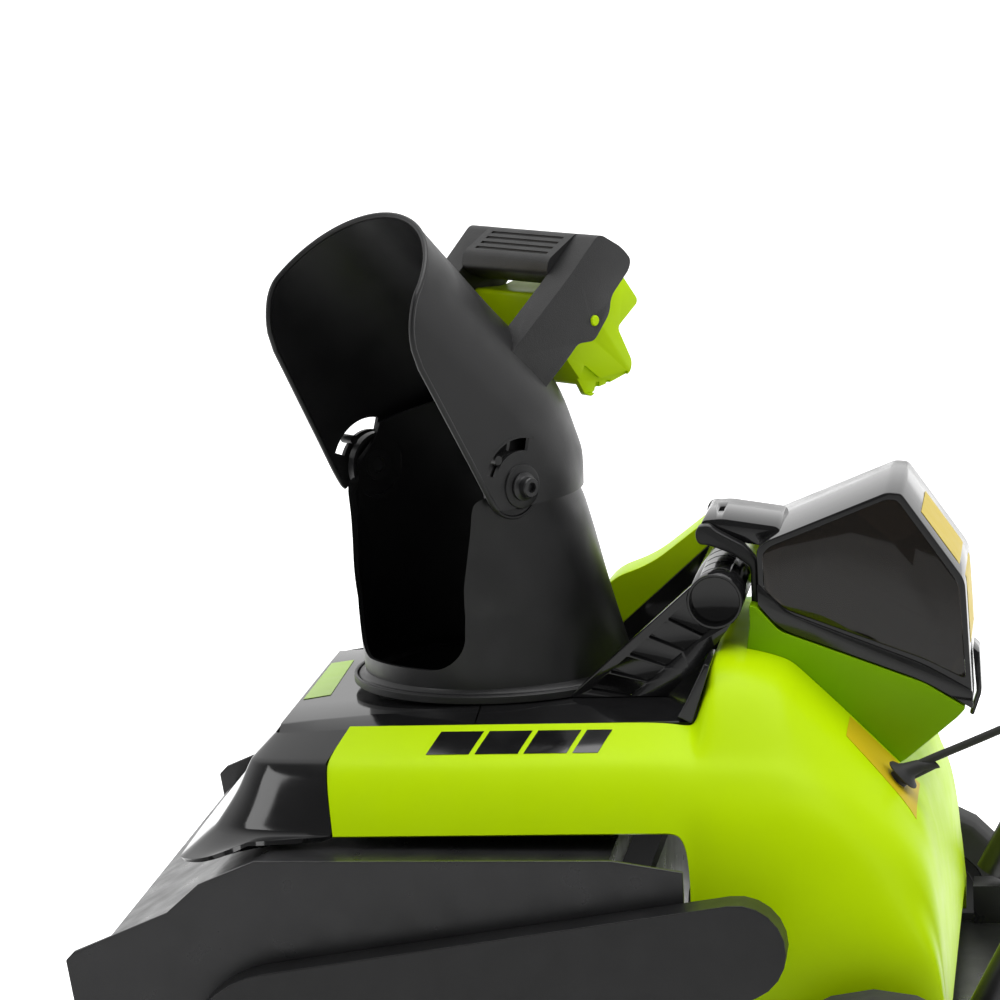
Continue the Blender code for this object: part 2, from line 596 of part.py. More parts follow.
def make_carry_handle():
    outline = [(0.0745, 0.3402), (0.0745, 0.3500), (0.1467, 0.4178), (0.1560, 0.4220), (0.1770, 0.3980),
               (0.1637, 0.3814), (0.1320, 0.3402)]
    plates, bays = [], []
    for side in (-1, 1):
        low, high = sorted((side * 0.0740, side * 0.0840))
        plate = prism("plate", outline, in_x, low, high)
        plates.append(plate)
        for i in range(5):
            t0, t1 = 0.02 + 0.170 * i, 0.02 + 0.170 * i + 0.145
            ends = [(Vector((0.0860, 0.3560)).lerp(Vector((0.1500, 0.4160)), t),
                     Vector((0.1240, 0.3410)).lerp(Vector((0.1680, 0.3960)), t)) for t in (t0, t1)]
            (a, b), (c, d) = ends
            bay = [tuple(a.lerp(b, 0.10)), tuple(a.lerp(b, 0.90)), tuple(c.lerp(d, 0.90)),
                   tuple(c.lerp(d, 0.10))]
            bays.append(prism("bay", bay, in_x, *sorted((side * 0.0770, side * 0.0900))))
    grip = ring("carry_handle", (0, 0.1610, 0.4050), (1, 0, 0), 0.0160, 0.0190, -0.0860, 0.0860, 24)
    plug = [rod("core", (0, 0.1610, 0.4050), (1, 0, 0), 0.0176, -0.0640, 0.0640, 20)]
    boolean(grip, plates + plug, "UNION")
    boolean(grip, bays)
    paint(grip, "black_plastic")


# ---------------------------------------------------------------- chute and deflector
def chute_point(turn, t, inset=0.0):
    """Skin of the chute; turn 0 is the back, t runs up from the flange."""
    back = math.cos(turn) > 0
    top = mix([(-1.0, 0.4700), (-0.62, 0.4860), (-0.25, 0.5040), (0.0, 0.5180), (0.6, 0.5290),
               (1.0, 0.5350)], math.cos(turn))
    z = 0.3450 + t * (top - 0.3450)
    half = mix([(0.345, 0.0950), (0.452, 0.0768), (0.480, 0.0755), (0.500, 0.0735), (0.535, 0.0700)], z) - inset
    rear = inset + mix([(0.345, -0.0950), (0.464, -0.0610), (0.477, -0.0530), (0.487, -0.0480),
                (0.510, -0.0340), (0.535, -0.0160)], z)
    middle = rear + half
    if back:
        return middle - half * math.cos(turn), half * math.sin(turn), z
    reach = mix([(0.345, 0.0950), (0.400, 0.0985), (0.440, 0.0970), (0.470, 0.0950), (0.535, 0.0900)], z) - inset
    power = mix([(0.345, 2.0), (0.400, 2.25), (0.440, 2.87), (0.455, 3.2), (0.470, 3.6), (0.535, 4.5)], z)
    c, s = -math.cos(turn), math.sin(turn)
    size = (abs(c) ** power + abs(s) ** power) ** (-1 / power)
    return middle + (reach - middle) * c * size, half * s * size, z


def make_chute():
    columns, levels = 32, 6
    outer, inner = [[[in_chute(d, z, s) for d, s, z in
                      [chute_point(2 * math.pi * i / columns, j / levels, inset) for i in range(columns)]]
                     for j in range(levels + 1)] for inset in (0.0, WALL)]
    chute = shell("chute", outer, inner)
    flange = turned("flange", [(0.0835, 0.3130), (0.0860, 0.3130), (0.0860, 0.3418), (0.1000, 0.3418),
                               (0.1000, 0.3450), (0.0946, 0.3465), (0.0925, 0.3465), (0.0915, 0.3446),
                               (0.0835, 0.3440)],
                    (0, 0, 0), (0, 0, 1), 32)
    bosses = [rod("boss", in_chute(PIVOT_D, PIVOT_Z, 0), S_DIR, 0.0235, *sorted((k * 0.0700, k * 0.0764)),
                  24) for k in (-1, 1)]
    boolean(chute, [flange] + bosses, "UNION")
    edge = [(0.0600, 0.420), (0.0625, 0.440), (0.0665, 0.470), (0.0700, 0.4800), (0.0760, 0.4835),
            (0.140, 0.4835), (0.140, 0.56)]
    mouth = ([(-s, z) for s, z in reversed(edge)] + arc(-0.0315, 0.387, 0.026, 180, 270, 4)
             + arc(0.0315, 0.387, 0.026, 270, 360, 4) + edge)
    boolean(chute, [prism("mouth", mouth, front_chute, 0.0640, 0.1500)])
    boolean(chute, [rod("bore", in_chute(PIVOT_D, PIVOT_Z, 0), S_DIR, 0.0052, *sorted((k * 0.060, k * 0.090)),
                        18) for k in (-1, 1)])
    paint(chute, "black_plastic")


def hood_point(t, side, inset=0.0):
    """Outer skin of the deflector; t runs from its lower edge to the rim, side from -1 to 1."""
    rear = [(0.0, (-0.0575, 0.4770)), (0.12, (-0.0575, 0.4970)), (0.20, (-0.0550, 0.5070)),
            (0.36, (-0.0351, 0.5537)), (1.0, (0.0790, 0.6734))]
    front = [(0.0, (0.0610, 0.4735)), (0.12, (0.0685, 0.4770)), (0.36, (0.0885, 0.5130)),
             (1.0, (0.1405, 0.6089))]
    width = mix([(0.0, 0.0840), (0.20, 0.0835), (1.0, 0.0787)], t)
    b = Vector((mix([(k, v[0]) for k, v in rear], t), mix([(k, v[1]) for k, v in rear], t)))
    f = Vector((mix([(k, v[0]) for k, v in front], t), mix([(k, v[1]) for k, v in front], t)))
    length = (f - b).length
    radius = min(width, length * 0.96)
    leg = length - radius
    total = leg + radius * math.pi / 2
    q = abs(side) * total
    if q < radius * math.pi / 2:
        a = q / radius
        along, across = radius - (radius - inset) * math.cos(a), (width - inset) * math.sin(a)
    else:
        along, across = radius + q - radius * math.pi / 2, width - inset
    p = b + (f - b) * (along / length)
    return p.x, math.copysign(across, side), p.y


def hood_limit(side):
    """The rim stops short of the front corners, which are round."""
    edge = (1 - abs(side)) * 0.140
    corner = 0.030
    if edge >= corner:
        return 1.0
    return 1.0 - (corner - math.sqrt(corner ** 2 - (corner - edge) ** 2)) / 0.150


def make_deflector():
    columns, levels = 24, 8
    sides = [-1 + 2 * i / columns for i in range(columns + 1)]
    rows = []
    for j in range(levels + 1):
        row = []
        for side in sides:
            d, s, z = hood_point(j / levels * hood_limit(side), side)
            row.append(in_chute(d, z, s))
        rows.append(row)
    hood = sheet("deflector", rows, WALL, offset=1)
    pads = [rod("pad", in_chute(PIVOT_D, PIVOT_Z, 0), S_DIR, 0.0150, *sorted((k * 0.0792, k * 0.0850)), 24)
            for k in (-1, 1)]
    boolean(hood, pads, "UNION")
    outline = (arc(PIVOT_D, PIVOT_Z, 0.0330, 21, 106, 8) + arc(PIVOT_D, PIVOT_Z, 0.0245, 106, 21, 8))
    boolean(hood, [prism("slot", outline, in_chute, -0.1, 0.1),
                   rod("bore", in_chute(PIVOT_D, PIVOT_Z, 0), S_DIR, 0.0052, -0.1, 0.1, 20)])
    paint(hood, "black_plastic")
    for k, name in ((-1, "pivot_bolt_right"), (1, "pivot_bolt_left")):
        profile = [(0, 0.0715), (0.0048, 0.0715), (0.0048, 0.0854), (0.0100, 0.0854), (0.0098, 0.0872),
                   (0.0070, 0.0880), (0.0066, 0.0935), (0.0034, 0.0940), (0.0030, 0.0905), (0, 0.0905)]
        turned(name, profile, in_chute(PIVOT_D, PIVOT_Z, 0), S_DIR * k, 18, "steel")


LEG = [(-0.0490, 0.6500), (-0.0700, 0.6380), (-0.0780, 0.6290), (-0.0760, 0.6220), (-0.0580, 0.6050),
       (-0.0560, 0.5935), (-0.0410, 0.5760), (-0.0260, 0.5760), (-0.0138, 0.5650), (0.0112, 0.5448),
       (0.0350, 0.5450), (0.0450, 0.5690), (-0.0200, 0.6230)]
BAR = [(-0.0490, 0.6496), (-0.0215, 0.6335), (-0.0200, 0.6290), (-0.0340, 0.6185), (-0.0560, 0.6120),
       (-0.0756, 0.6224), (-0.0776, 0.6290), (-0.0698, 0.6376)]
TRIGGER = [(-0.0380, 0.6020), (-0.0600, 0.6050), (-0.0820, 0.6080), (-0.0950, 0.5980), (-0.0960, 0.5930),
           (-0.0740, 0.5840), (-0.0790, 0.5700), (-0.0870, 0.5550), (-0.0700, 0.5430), (-0.0590, 0.5330),
           (-0.0560, 0.5330), (-0.0460, 0.5480), (-0.0310, 0.5680), (-0.0310, 0.5850)]
PIN = (-0.0420, 0.5900)


def hood_plug():
    """The deflector filled in and a little larger, which trims the handle's legs to its skin."""
    sides = [-1 + 2 * i / 24 for i in range(25)]
    bm = bmesh.new()
    rows = []
    for t in (0.20, 0.36, 0.52, 0.68, 0.84, 1.0):
        rows.append([bm.verts.new(in_chute(d, z, s)) for d, s, z in
                     [hood_point(t, side, -2 * GAP) for side in sides]])
    for low, high in zip(rows, rows[1:]):
        for i in range(len(sides)):
            j = (i + 1) % len(sides)
            bm.faces.new((low[i], low[j], high[j], high[i]))
    bm.faces.new(rows[0])
    bm.faces.new(rows[-1])
    return add("plug", bm)


def make_deflector_handle():
    handle = prism("deflector_handle", BAR, in_chute, -0.0460, 0.0460)
    legs = []
    for k in (-1, 1):
        legs.append(prism("leg", LEG, in_chute, *sorted((k * 0.0450, k * 0.0650))))
    boolean(handle, legs, "UNION")
    bevel(handle, 0.0020, 1)
    boolean(handle, [hood_plug(), rod("bore", in_chute(*PIN, 0), S_DIR, 0.0034, -0.1, 0.1, 14)])
    paint(handle, "soft_grip")
    lever = prism("trigger", TRIGGER, in_chute, -0.0440, 0.0440)
    boolean(lever, [prism("hollow", [(-0.0600, 0.5980), (-0.0700, 0.5950), (-0.0620, 0.5560),
                                     (-0.0520, 0.5500), (-0.0370, 0.5670), (-0.0370, 0.5760),
                                     (-0.0520, 0.5800)], in_chute, -0.0360, 0.0360),
                    prism("under", [(-0.0700, 0.5750), (-0.0900, 0.5500), (-0.0550, 0.5200),
                                    (-0.0480, 0.5400)], in_chute, -0.0360, 0.0360),
                    rod("bore", in_chute(*PIN, 0), S_DIR, 0.0034, -0.1, 0.1, 14)])
    paint(lever, "lime_plastic")
    rod("trigger_pin", in_chute(*PIN, 0), S_DIR, 0.0032, -0.0655, 0.0655, 14, "lime_plastic")


# ---------------------------------------------------------------- handle
LOWER_FOOT = Vector((0, 0.3360, 0.1400))
LOWER_AHEAD = (Vector((0, FOLD_Y, FOLD_Z)) - LOWER_FOOT).normalized()
TUBE_AHEAD = Vector((0, GRIP_Y - FOLD_Y, GRIP_Z - FOLD_Z)).normalized()
BAIL_Y = FOLD_Y + TUBE_AHEAD.y * 0.400
BAIL_Z = FOLD_Z + TUBE_AHEAD.z * 0.400
BAIL_REACH = Vector((0, 0.0054, 0.1338))


def upper_handle_path():
    foot = Vector((0, FOLD_Y, FOLD_Z)) - TUBE_AHEAD * 0.010
    return round_bends([(TUBE_X, foot.y, foot.z), (TUBE_X, GRIP_Y, GRIP_Z),
                        (-TUBE_X, GRIP_Y, GRIP_Z), (-TUBE_X, foot.y, foot.z)], 0.060, 4)


def make_handle():
    for side, name in ((1, "left"), (-1, "right")):
        start = LOWER_FOOT + Vector((side * TUBE_X, 0, 0))
        end = Vector((side * TUBE_X, FOLD_Y, FOLD_Z)) - LOWER_AHEAD * 0.016
        tube = pipe("lower_tube_" + name, [start, end], TUBE_R, 0.0110, 14)
        foot, knee = end - LOWER_AHEAD * 0.020, end - LOWER_AHEAD * 0.006
        tab = prism("tab", slot_outline((foot.y, foot.z), (FOLD_Y, FOLD_Z), 0.0110), in_x,
                    *sorted((side * (TUBE_X + TUBE_R + 0.0003), side * (TUBE_X + TUBE_R + 0.0035))))
        pad = prism("pad", slot_outline((foot.y, foot.z), (knee.y, knee.z), 0.0060), in_x,
                    *sorted((side * (TUBE_X + TUBE_R - 0.0030), side * (TUBE_X + TUBE_R + 0.0020))))
        boolean(tube, [tab, pad], "UNION")
        boolean(tube, [rod("bore", (0, FOLD_Y, FOLD_Z), (1, 0, 0), 0.0042, -0.3, 0.3, 16)])
        paint(tube, "black_paint")
    upper = pipe("upper_handle", upper_handle_path(), TUBE_R - 0.0005, 0.0100, 10)
    blocks = [prism("block", circle(BAIL_Y, BAIL_Z, 0.0100, 20), in_x,
                    *sorted((side * 0.1600, side * (TUBE_X - 0.0105)))) for side in (-1, 1)]
    boolean(upper, blocks, "UNION")
    boolean(upper, [rod("bore", (0, FOLD_Y, FOLD_Z), (1, 0, 0), 0.0042, -0.3, 0.3, 16)])
    boolean(upper, [rod("bore", (0, BAIL_Y, BAIL_Z), (1, 0, 0), 0.0046, -0.1785, 0.1785, 14)])
    paint(upper, "black_paint")
    ring("foam_grip", (0, GRIP_Y, GRIP_Z), (1, 0, 0), 0.0124, 0.0160, -0.1250, 0.0620, 20, "soft_grip")
    for side, name in ((1, "left"), (-1, "right")):
        knob = rod("fold_knob_" + name, (0, FOLD_Y, FOLD_Z), (side, 0, 0), 0.0180, 0.2065, 0.2200, 18,
                   "black_plastic")
        notches = [rod("notch", (0, FOLD_Y + 0.022 * math.cos(a), FOLD_Z + 0.022 * math.sin(a)),
                       (side, 0, 0), 0.0075, 0.20, 0.23, 12)
                   for a in [math.pi * 2 * i / 5 for i in range(5)]]
        boolean(knob, notches)
        stud = rod("stud", (0, FOLD_Y, FOLD_Z), (side, 0, 0), 0.0040, 0.1740, 0.2080, 14)
        boolean(knob, [stud], "UNION")
        paint(knob, "black_plastic")


SWITCH_X = (0.0720, 0.1220)


def switch_outline(points):
    return [(GRIP_Y + y, GRIP_Z + z) for y, z in points]


def make_controls():
    bore = (0, GRIP_Y, GRIP_Z)
    top = prism("switch_box_top", switch_outline(
        [(-0.0165, 0.0002), (-0.0160, 0.0080), (-0.0100, 0.0140), (-0.0040, 0.0165), (0.0100, 0.0165),
         (0.0165, 0.0100), (0.0180, 0.0002)]), in_x, *SWITCH_X)
    bottom = prism("switch_box_bottom", switch_outline(
        [(-0.0165, -0.0002), (-0.0165, -0.0200), (-0.0080, -0.0320), (0.0120, -0.0320),
         (0.0180, -0.0200), (0.0180, -0.0002)]), in_x, *SWITCH_X)
    middle = sum(SWITCH_X) / 2
    boolean(top, [rod("bore", bore, (1, 0, 0), 0.0124, 0, 0.2, 20),
                  rod("well", (middle, GRIP_Y + 0.003, GRIP_Z), (0, 0, 1), 0.0066, 0.0100, 0.03, 16)])
    boolean(bottom, [rod("bore", bore, (1, 0, 0), 0.0124, 0, 0.2, 20),
                     rod("entry", (middle, GRIP_Y + 0.002, GRIP_Z), (0, 0, 1), 0.0045, -0.04, -0.0100, 16)])
    for part, name in ((top, "switch_box_top"), (bottom, "switch_box_bottom")):
        paint(part, "black_plastic")
    rod("start_button", (middle, GRIP_Y + 0.003, GRIP_Z), (0, 0, 1), 0.0060, 0.0155, 0.0215, 20,
        "lime_plastic")
    path = round_bends([(0.1500, BAIL_Y, BAIL_Z), (0.1500, BAIL_Y + BAIL_REACH.y, BAIL_Z + BAIL_REACH.z),
                        (-0.1500, BAIL_Y + BAIL_REACH.y, BAIL_Z + BAIL_REACH.z), (-0.1500, BAIL_Y, BAIL_Z)],
                       0.030, 5)
    bail = pipe("bail_lever", path, 0.0045, 0, 8, "black_paint")
    ends = [rod("end", (0, BAIL_Y, BAIL_Z), (side, 0, 0), 0.0042, 0.1460, 0.1775, 12) for side in (-1, 1)]
    boolean(bail, ends, "UNION")


def cable_route():
    """From the rear cover, up behind the left tubes, to the switch box."""
    middle = sum(SWITCH_X) / 2
    behind = Vector((0, TUBE_AHEAD.z, -TUBE_AHEAD.y)) * (TUBE_R + 0.0052)
    fold = Vector((TUBE_X, FOLD_Y, FOLD_Z)) + behind
    out = [CABLE_EXIT + CABLE_OUT * reach for reach in (0.0040, 0.0100)]
    below = Vector((0, LOWER_AHEAD.z, -LOWER_AHEAD.y)) * (TUBE_R + 0.0056)
    up = [Vector((TUBE_X, FOLD_Y, FOLD_Z)) + below + LOWER_AHEAD * reach for reach in (-0.130, -0.060)]
    up += [fold + TUBE_AHEAD * reach for reach in (0.040, 0.140, 0.260)]
    entry = [Vector((middle, GRIP_Y + 0.0020, GRIP_Z - drop)) for drop in (0.0560, 0.0400, 0.0160)]
    sweep = [(0.1180, 0.3050, 0.3010), (0.1240, 0.3500, 0.3210), (0.1360, 0.4050, 0.3480),
             (0.1580, 0.4750, 0.3900),
             (0.1740, 0.5060, 0.4190)]
    return out + sweep + up + [(0.1650, 0.8180, 0.8550)] + [(0.1200, 0.8700, 0.8980)] + entry


def make_cable():
    pipe("cable", smooth_path(cable_route(), 3), 0.0028, 0, 6, "rubber")
    profile = [(0.0032, -0.0060), (0.0068, -0.0060), (0.0068, 0.0034), (0.0120, 0.0034), (0.0120, 0.0052),
               (0.0068, 0.0070), (0.0048, 0.0110), (0.0032, 0.0110)]
    turned("cable_grommet", profile, CABLE_EXIT, CABLE_OUT, 20, "rubber")


def finish_shading():
    for obj in bpy.context.scene.objects:
        if obj.type != "MESH":
            continue
        obj.data.transform(SHIFT)
        obj.data.shade_smooth()
        obj.data.set_sharp_from_angle(angle=math.radians(32))


def build():
    clear_scene()
    make_housing()
    make_auger()
    make_drive()
    make_chassis()
    make_front_hood()
    make_decks()
    make_side_covers()
    make_motor_cover()
    make_tower()
    make_battery()
    make_lid()
    make_carry_handle()
    make_chute()
    make_deflector()
    make_deflector_handle()
    make_handle()
    make_controls()
    make_cable()
    finish_shading()


build()
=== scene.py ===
"""Looks of a cordless snow thrower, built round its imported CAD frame. Metres, +Z up."""
import json
import math

import bpy
import bmesh
from mathutils import Matrix, Vector


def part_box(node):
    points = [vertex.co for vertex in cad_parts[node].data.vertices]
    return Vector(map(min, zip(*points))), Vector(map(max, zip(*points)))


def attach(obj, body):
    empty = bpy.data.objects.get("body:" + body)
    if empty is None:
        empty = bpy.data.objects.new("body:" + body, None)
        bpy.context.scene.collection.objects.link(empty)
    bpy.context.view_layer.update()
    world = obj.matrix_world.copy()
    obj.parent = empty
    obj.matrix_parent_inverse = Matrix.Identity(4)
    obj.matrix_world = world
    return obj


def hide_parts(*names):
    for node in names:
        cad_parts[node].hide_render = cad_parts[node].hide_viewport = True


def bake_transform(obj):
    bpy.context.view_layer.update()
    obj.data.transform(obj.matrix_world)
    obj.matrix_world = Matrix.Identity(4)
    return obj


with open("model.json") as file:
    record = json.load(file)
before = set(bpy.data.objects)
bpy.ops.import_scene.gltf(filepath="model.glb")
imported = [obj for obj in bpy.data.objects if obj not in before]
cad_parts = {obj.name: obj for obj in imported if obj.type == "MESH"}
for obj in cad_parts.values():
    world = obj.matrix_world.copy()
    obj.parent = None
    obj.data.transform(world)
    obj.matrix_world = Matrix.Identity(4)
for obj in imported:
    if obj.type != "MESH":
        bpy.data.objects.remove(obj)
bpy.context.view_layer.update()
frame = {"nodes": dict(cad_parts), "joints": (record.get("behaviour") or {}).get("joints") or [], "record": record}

# ---------------------------------------------------------------- places read from the frame
JOINTS = {joint["name"]: joint for joint in frame["joints"]}
LOW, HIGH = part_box("chute_collar")
CHUTE_Y = (LOW.y + HIGH.y) / 2                       # the chute turns about x = 0, y = CHUTE_Y
S_DIR = Vector(JOINTS["deflector_tilt"]["axis"]).normalized()   # along the deflector hinge
D_DIR = Vector((S_DIR.y, -S_DIR.x, 0))               # the way the chute throws
PIVOT_D = 0.0445                                     # from the chute's axis to the hinge, along D_DIR
PIVOT_Z = JOINTS["deflector_tilt"]["pos_m"][2]
BOLT_BORE = 0.0052                                   # radius of the holes for the hinge bolts
WALL = 0.003                                         # thickness of the moulded walls
PACK_Y, PACK_Z = 0.208, 0.392                        # front end of the battery bay's middle line
SLOPE = math.radians(30)
PACK_U = Vector((0, math.cos(SLOPE), -math.sin(SLOPE)))   # down the bay
PACK_V = Vector((0, math.sin(SLOPE), math.cos(SLOPE)))    # square to its floor
SIDES = ((1, "left"), (-1, "right"))


def at(x, y, z):
    """A point of the machine, with y counted from the chute's axis."""
    return Vector((x, y + CHUTE_Y, z))


# The four below place a point (a, b) of an outline that is drawn at the depth c.
def in_x(a, b, c):
    """Outline seen from the side: a back, b up, c across the machine."""
    return Vector((c, a + CHUTE_Y, b))


def in_chute(a, b, c):
    """Outline seen along the deflector hinge: a the way the chute throws, b up."""
    return D_DIR * a + S_DIR * c + Vector((0, CHUTE_Y, b))


def front_chute(a, b, c):
    """Outline seen from where the chute throws: a along the hinge, b up."""
    return S_DIR * a + D_DIR * c + Vector((0, CHUTE_Y, b))


def in_pack(a, b, c):
    """Outline of the battery bay seen from the side: a down the bay, b square to its floor."""
    return Vector((c, PACK_Y + CHUTE_Y, PACK_Z)) + PACK_U * a + PACK_V * b


def on_side(k, near, far):
    """The stretch between two distances from the middle, on the side k of SIDES."""
    return sorted((k * near, k * far))


# ---------------------------------------------------------------- materials
GRAIN_DEPTH = 0.0004


def new_material(name):
    mat = bpy.data.materials.new(name)
    mat.use_nodes = True
    return mat, mat.node_tree, mat.node_tree.nodes["Principled BSDF"]


def texture(tree, kind, scale, detail):
    coords = tree.nodes.new("ShaderNodeTexCoord")
    node = tree.nodes.new(kind)
    node.inputs["Scale"].default_value = scale
    if "Detail" in node.inputs:
        node.inputs["Detail"].default_value = detail
    tree.links.new(coords.outputs["Object"], node.inputs["Vector"])
    return node


def ramp(tree, source, low, high):
    """Two colours (or greys) mixed by a texture."""
    node = tree.nodes.new("ShaderNodeValToRGB")
    for stop, position, colour in zip(node.color_ramp.elements, (0.3, 0.7), (low, high)):
        stop.position = position
        stop.color = (*colour, 1)
    tree.links.new(source, node.inputs["Fac"])
    return node.outputs["Color"]


def bump(tree, shader, height, strength):
    node = tree.nodes.new("ShaderNodeBump")
    node.inputs["Strength"].default_value = strength
    node.inputs["Distance"].default_value = GRAIN_DEPTH
    tree.links.new(height, node.inputs["Height"])
    tree.links.new(node.outputs["Normal"], shader.inputs["Normal"])


def moulded(name, colour, rough, spread, grain, strength, metallic=0.0, specular=0.5, tint=0.10,
            cells=False):
    """Moulded or painted surface: faint colour drift, uneven gloss and a fine grain."""
    mat, tree, shader = new_material(name)
    drift = texture(tree, "ShaderNodeTexNoise", 14, 4)
    dark = tuple(c * (1 - tint) for c in colour)
    light = tuple(min(1, c * (1 + tint)) for c in colour)
    tree.links.new(ramp(tree, drift.outputs["Fac"], dark, light), shader.inputs["Base Color"])
    smear = texture(tree, "ShaderNodeTexNoise", 45, 6)
    low, high = max(0.02, rough - spread), rough + spread
    tree.links.new(ramp(tree, smear.outputs["Fac"], (low,) * 3, (high,) * 3), shader.inputs["Roughness"])
    shader.inputs["Metallic"].default_value = metallic
    shader.inputs["Specular IOR Level"].default_value = specular
    kind = "ShaderNodeTexVoronoi" if cells else "ShaderNodeTexNoise"
    fine = texture(tree, kind, grain, 3)
    bump(tree, shader, fine.outputs["Distance" if cells else "Fac"], strength)
    return mat


def smoked(name):
    """Tinted window plastic."""
    mat, tree, shader = new_material(name)
    shader.inputs["Base Color"].default_value = (0.050, 0.038, 0.028, 1)
    shader.inputs["Transmission Weight"].default_value = 0.85
    shader.inputs["IOR"].default_value = 1.49
    haze = texture(tree, "ShaderNodeTexNoise", 30, 3)
    tree.links.new(ramp(tree, haze.outputs["Fac"], (0.02,) * 3, (0.07,) * 3), shader.inputs["Roughness"])
    return mat


LOOKS = {
    "lime_plastic": moulded("lime", (0.52, 0.78, 0.0), 0.36, 0.05, 700, 0.04, specular=0.10, tint=0.02),
    # The darker lime below is painted shade: the battery tower is the same lime plastic, darkened for the shadow
    # it stands in under the lid.
    "dark_lime_plastic": moulded("lime_painted_shade", (0.20, 0.40, 0.0), 0.38, 0.05, 700, 0.04, specular=0.1,
                                 tint=0.03),
    "black_plastic": moulded("satin_black", (0.0085, 0.0085, 0.009), 0.38, 0.06, 1300, 0.12,
                             specular=0.42, tint=0.15),
    "gloss_black": moulded("gloss_black", (0.009, 0.009, 0.0095), 0.10, 0.03, 60, 0.01, tint=0.2),
    "soft_grip": moulded("soft_grip", (0.012, 0.012, 0.0125), 0.50, 0.05, 1100, 0.30, tint=0.15,
                         cells=True),
    "steel": moulded("steel", (0.42, 0.42, 0.43), 0.32, 0.10, 500, 0.10, metallic=1.0),
    "zinc": moulded("zinc", (0.60, 0.60, 0.62), 0.28, 0.08, 400, 0.08, metallic=1.0),
    "rubber": moulded("rubber", (0.018, 0.018, 0.018), 0.70, 0.08, 700, 0.25, tint=0.2),
    "black_paint": moulded("powder_coat", (0.015, 0.015, 0.016), 0.32, 0.06, 900, 0.20, tint=0.2),
    "smoked_clear": smoked("smoked_clear"),
    "red_plastic": moulded("red", (0.50, 0.02, 0.012), 0.35, 0.05, 800, 0.05),
    "label_yellow": moulded("label_yellow", (0.62, 0.46, 0.004), 0.45, 0.05, 300, 0.02, tint=0.05),
    "label_green": moulded("label_green", (0.42, 0.66, 0.10), 0.35, 0.05, 300, 0.02, tint=0.06),
}


# ---------------------------------------------------------------- mesh tools
def link(name, bm):
    """A new object from a finished bmesh."""
    mesh = bpy.data.meshes.new(name)
    bm.to_mesh(mesh)
    bm.free()
    obj = bpy.data.objects.new(name, mesh)
    bpy.context.scene.collection.objects.link(obj)
    return obj


def add(name, bm):
    """The same, with doubled vertices joined and the faces turned outwards."""
    bmesh.ops.remove_doubles(bm, verts=bm.verts, dist=1e-6)
    bmesh.ops.recalc_face_normals(bm, faces=bm.faces)
    return link(name, bm)


def weave(bm, rows, closed=False):
    """Faces between neighbouring rows of vertices."""
    count = len(rows[0])
    for low, high in zip(rows, rows[1:]):
        for i in range(count if closed else count - 1):
            j = (i + 1) % count
            bm.faces.new((low[i], low[j], high[j], high[i]))


def bake(obj):
    """Apply the modifiers."""
    bpy.context.view_layer.update()
    graph = bpy.context.evaluated_depsgraph_get()
    mesh = bpy.data.meshes.new_from_object(obj.evaluated_get(graph))
    old = obj.data
    obj.modifiers.clear()
    obj.data = mesh
    bpy.data.meshes.remove(old)
    return obj


def cut(obj, others):
    """Take other solids out of a piece, one by one."""
    for other in others:
        mod = obj.modifiers.new("cut", "BOOLEAN")
        mod.operation = "DIFFERENCE"
        mod.solver = "EXACT"
        mod.object = other
        bake(obj)
        bpy.data.objects.remove(other, do_unlink=True)


def bevel(obj, width, segments=3, angle=30):
    mod = obj.modifiers.new("edges", "BEVEL")
    mod.width = width
    mod.segments = segments
    mod.angle_limit = math.radians(angle)
    bake(obj)


def smooth(obj, angle):
    obj.data.shade_smooth()
    obj.data.set_sharp_from_angle(angle=math.radians(angle))


def show(obj, body, look, node=None, angle=32):
    """Last step of every piece: material, shading, the body it rides on and the node it stands for."""
    obj.data.materials.clear()
    obj.data.materials.append(LOOKS[look])
    smooth(obj, angle)
    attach(obj, body)
    if node:
        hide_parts(node)


def prism(name, outline, place, low, high):
    """An outline drawn out between two depths; place puts each point."""
    bm = bmesh.new()
    ends = [[bm.verts.new(place(a, b, c)) for a, b in outline] for c in (low, high)]
    bm.faces.new(ends[0])
    bm.faces.new(ends[1])
    for i in range(len(outline)):
        j = (i + 1) % len(outline)
        bm.faces.new((ends[0][i], ends[0][j], ends[1][j], ends[1][i]))
    return add(name, bm)


def arc(a, b, radius, first, last, steps):
    """Points of an arc about (a, b), between two angles in degrees."""
    turn = [math.radians(first + (last - first) * i / steps) for i in range(steps + 1)]
    return [(a + radius * math.cos(t), b + radius * math.sin(t)) for t in turn]


def rounded(outline, radius, steps=6):
    """Round every corner of an outline; radius is one number or one per corner."""
    count = len(outline)
    radii = radius if isinstance(radius, (list, tuple)) else [radius] * count
    result = []
    for i in range(count):
        here = Vector(outline[i])
        before, after = Vector(outline[i - 1]), Vector(outline[(i + 1) % count])
        reach = min(radii[i], (before - here).length * 0.48, (after - here).length * 0.48)
        if reach < 1e-5:
            result.append(tuple(here))
            continue
        start = here + (before - here).normalized() * reach
        end = here + (after - here).normalized() * reach
        for k in range(steps + 1):
            t = k / steps
            result.append(tuple(start * (1 - t) ** 2 + 2 * here * t * (1 - t) + end * t * t))
    return result


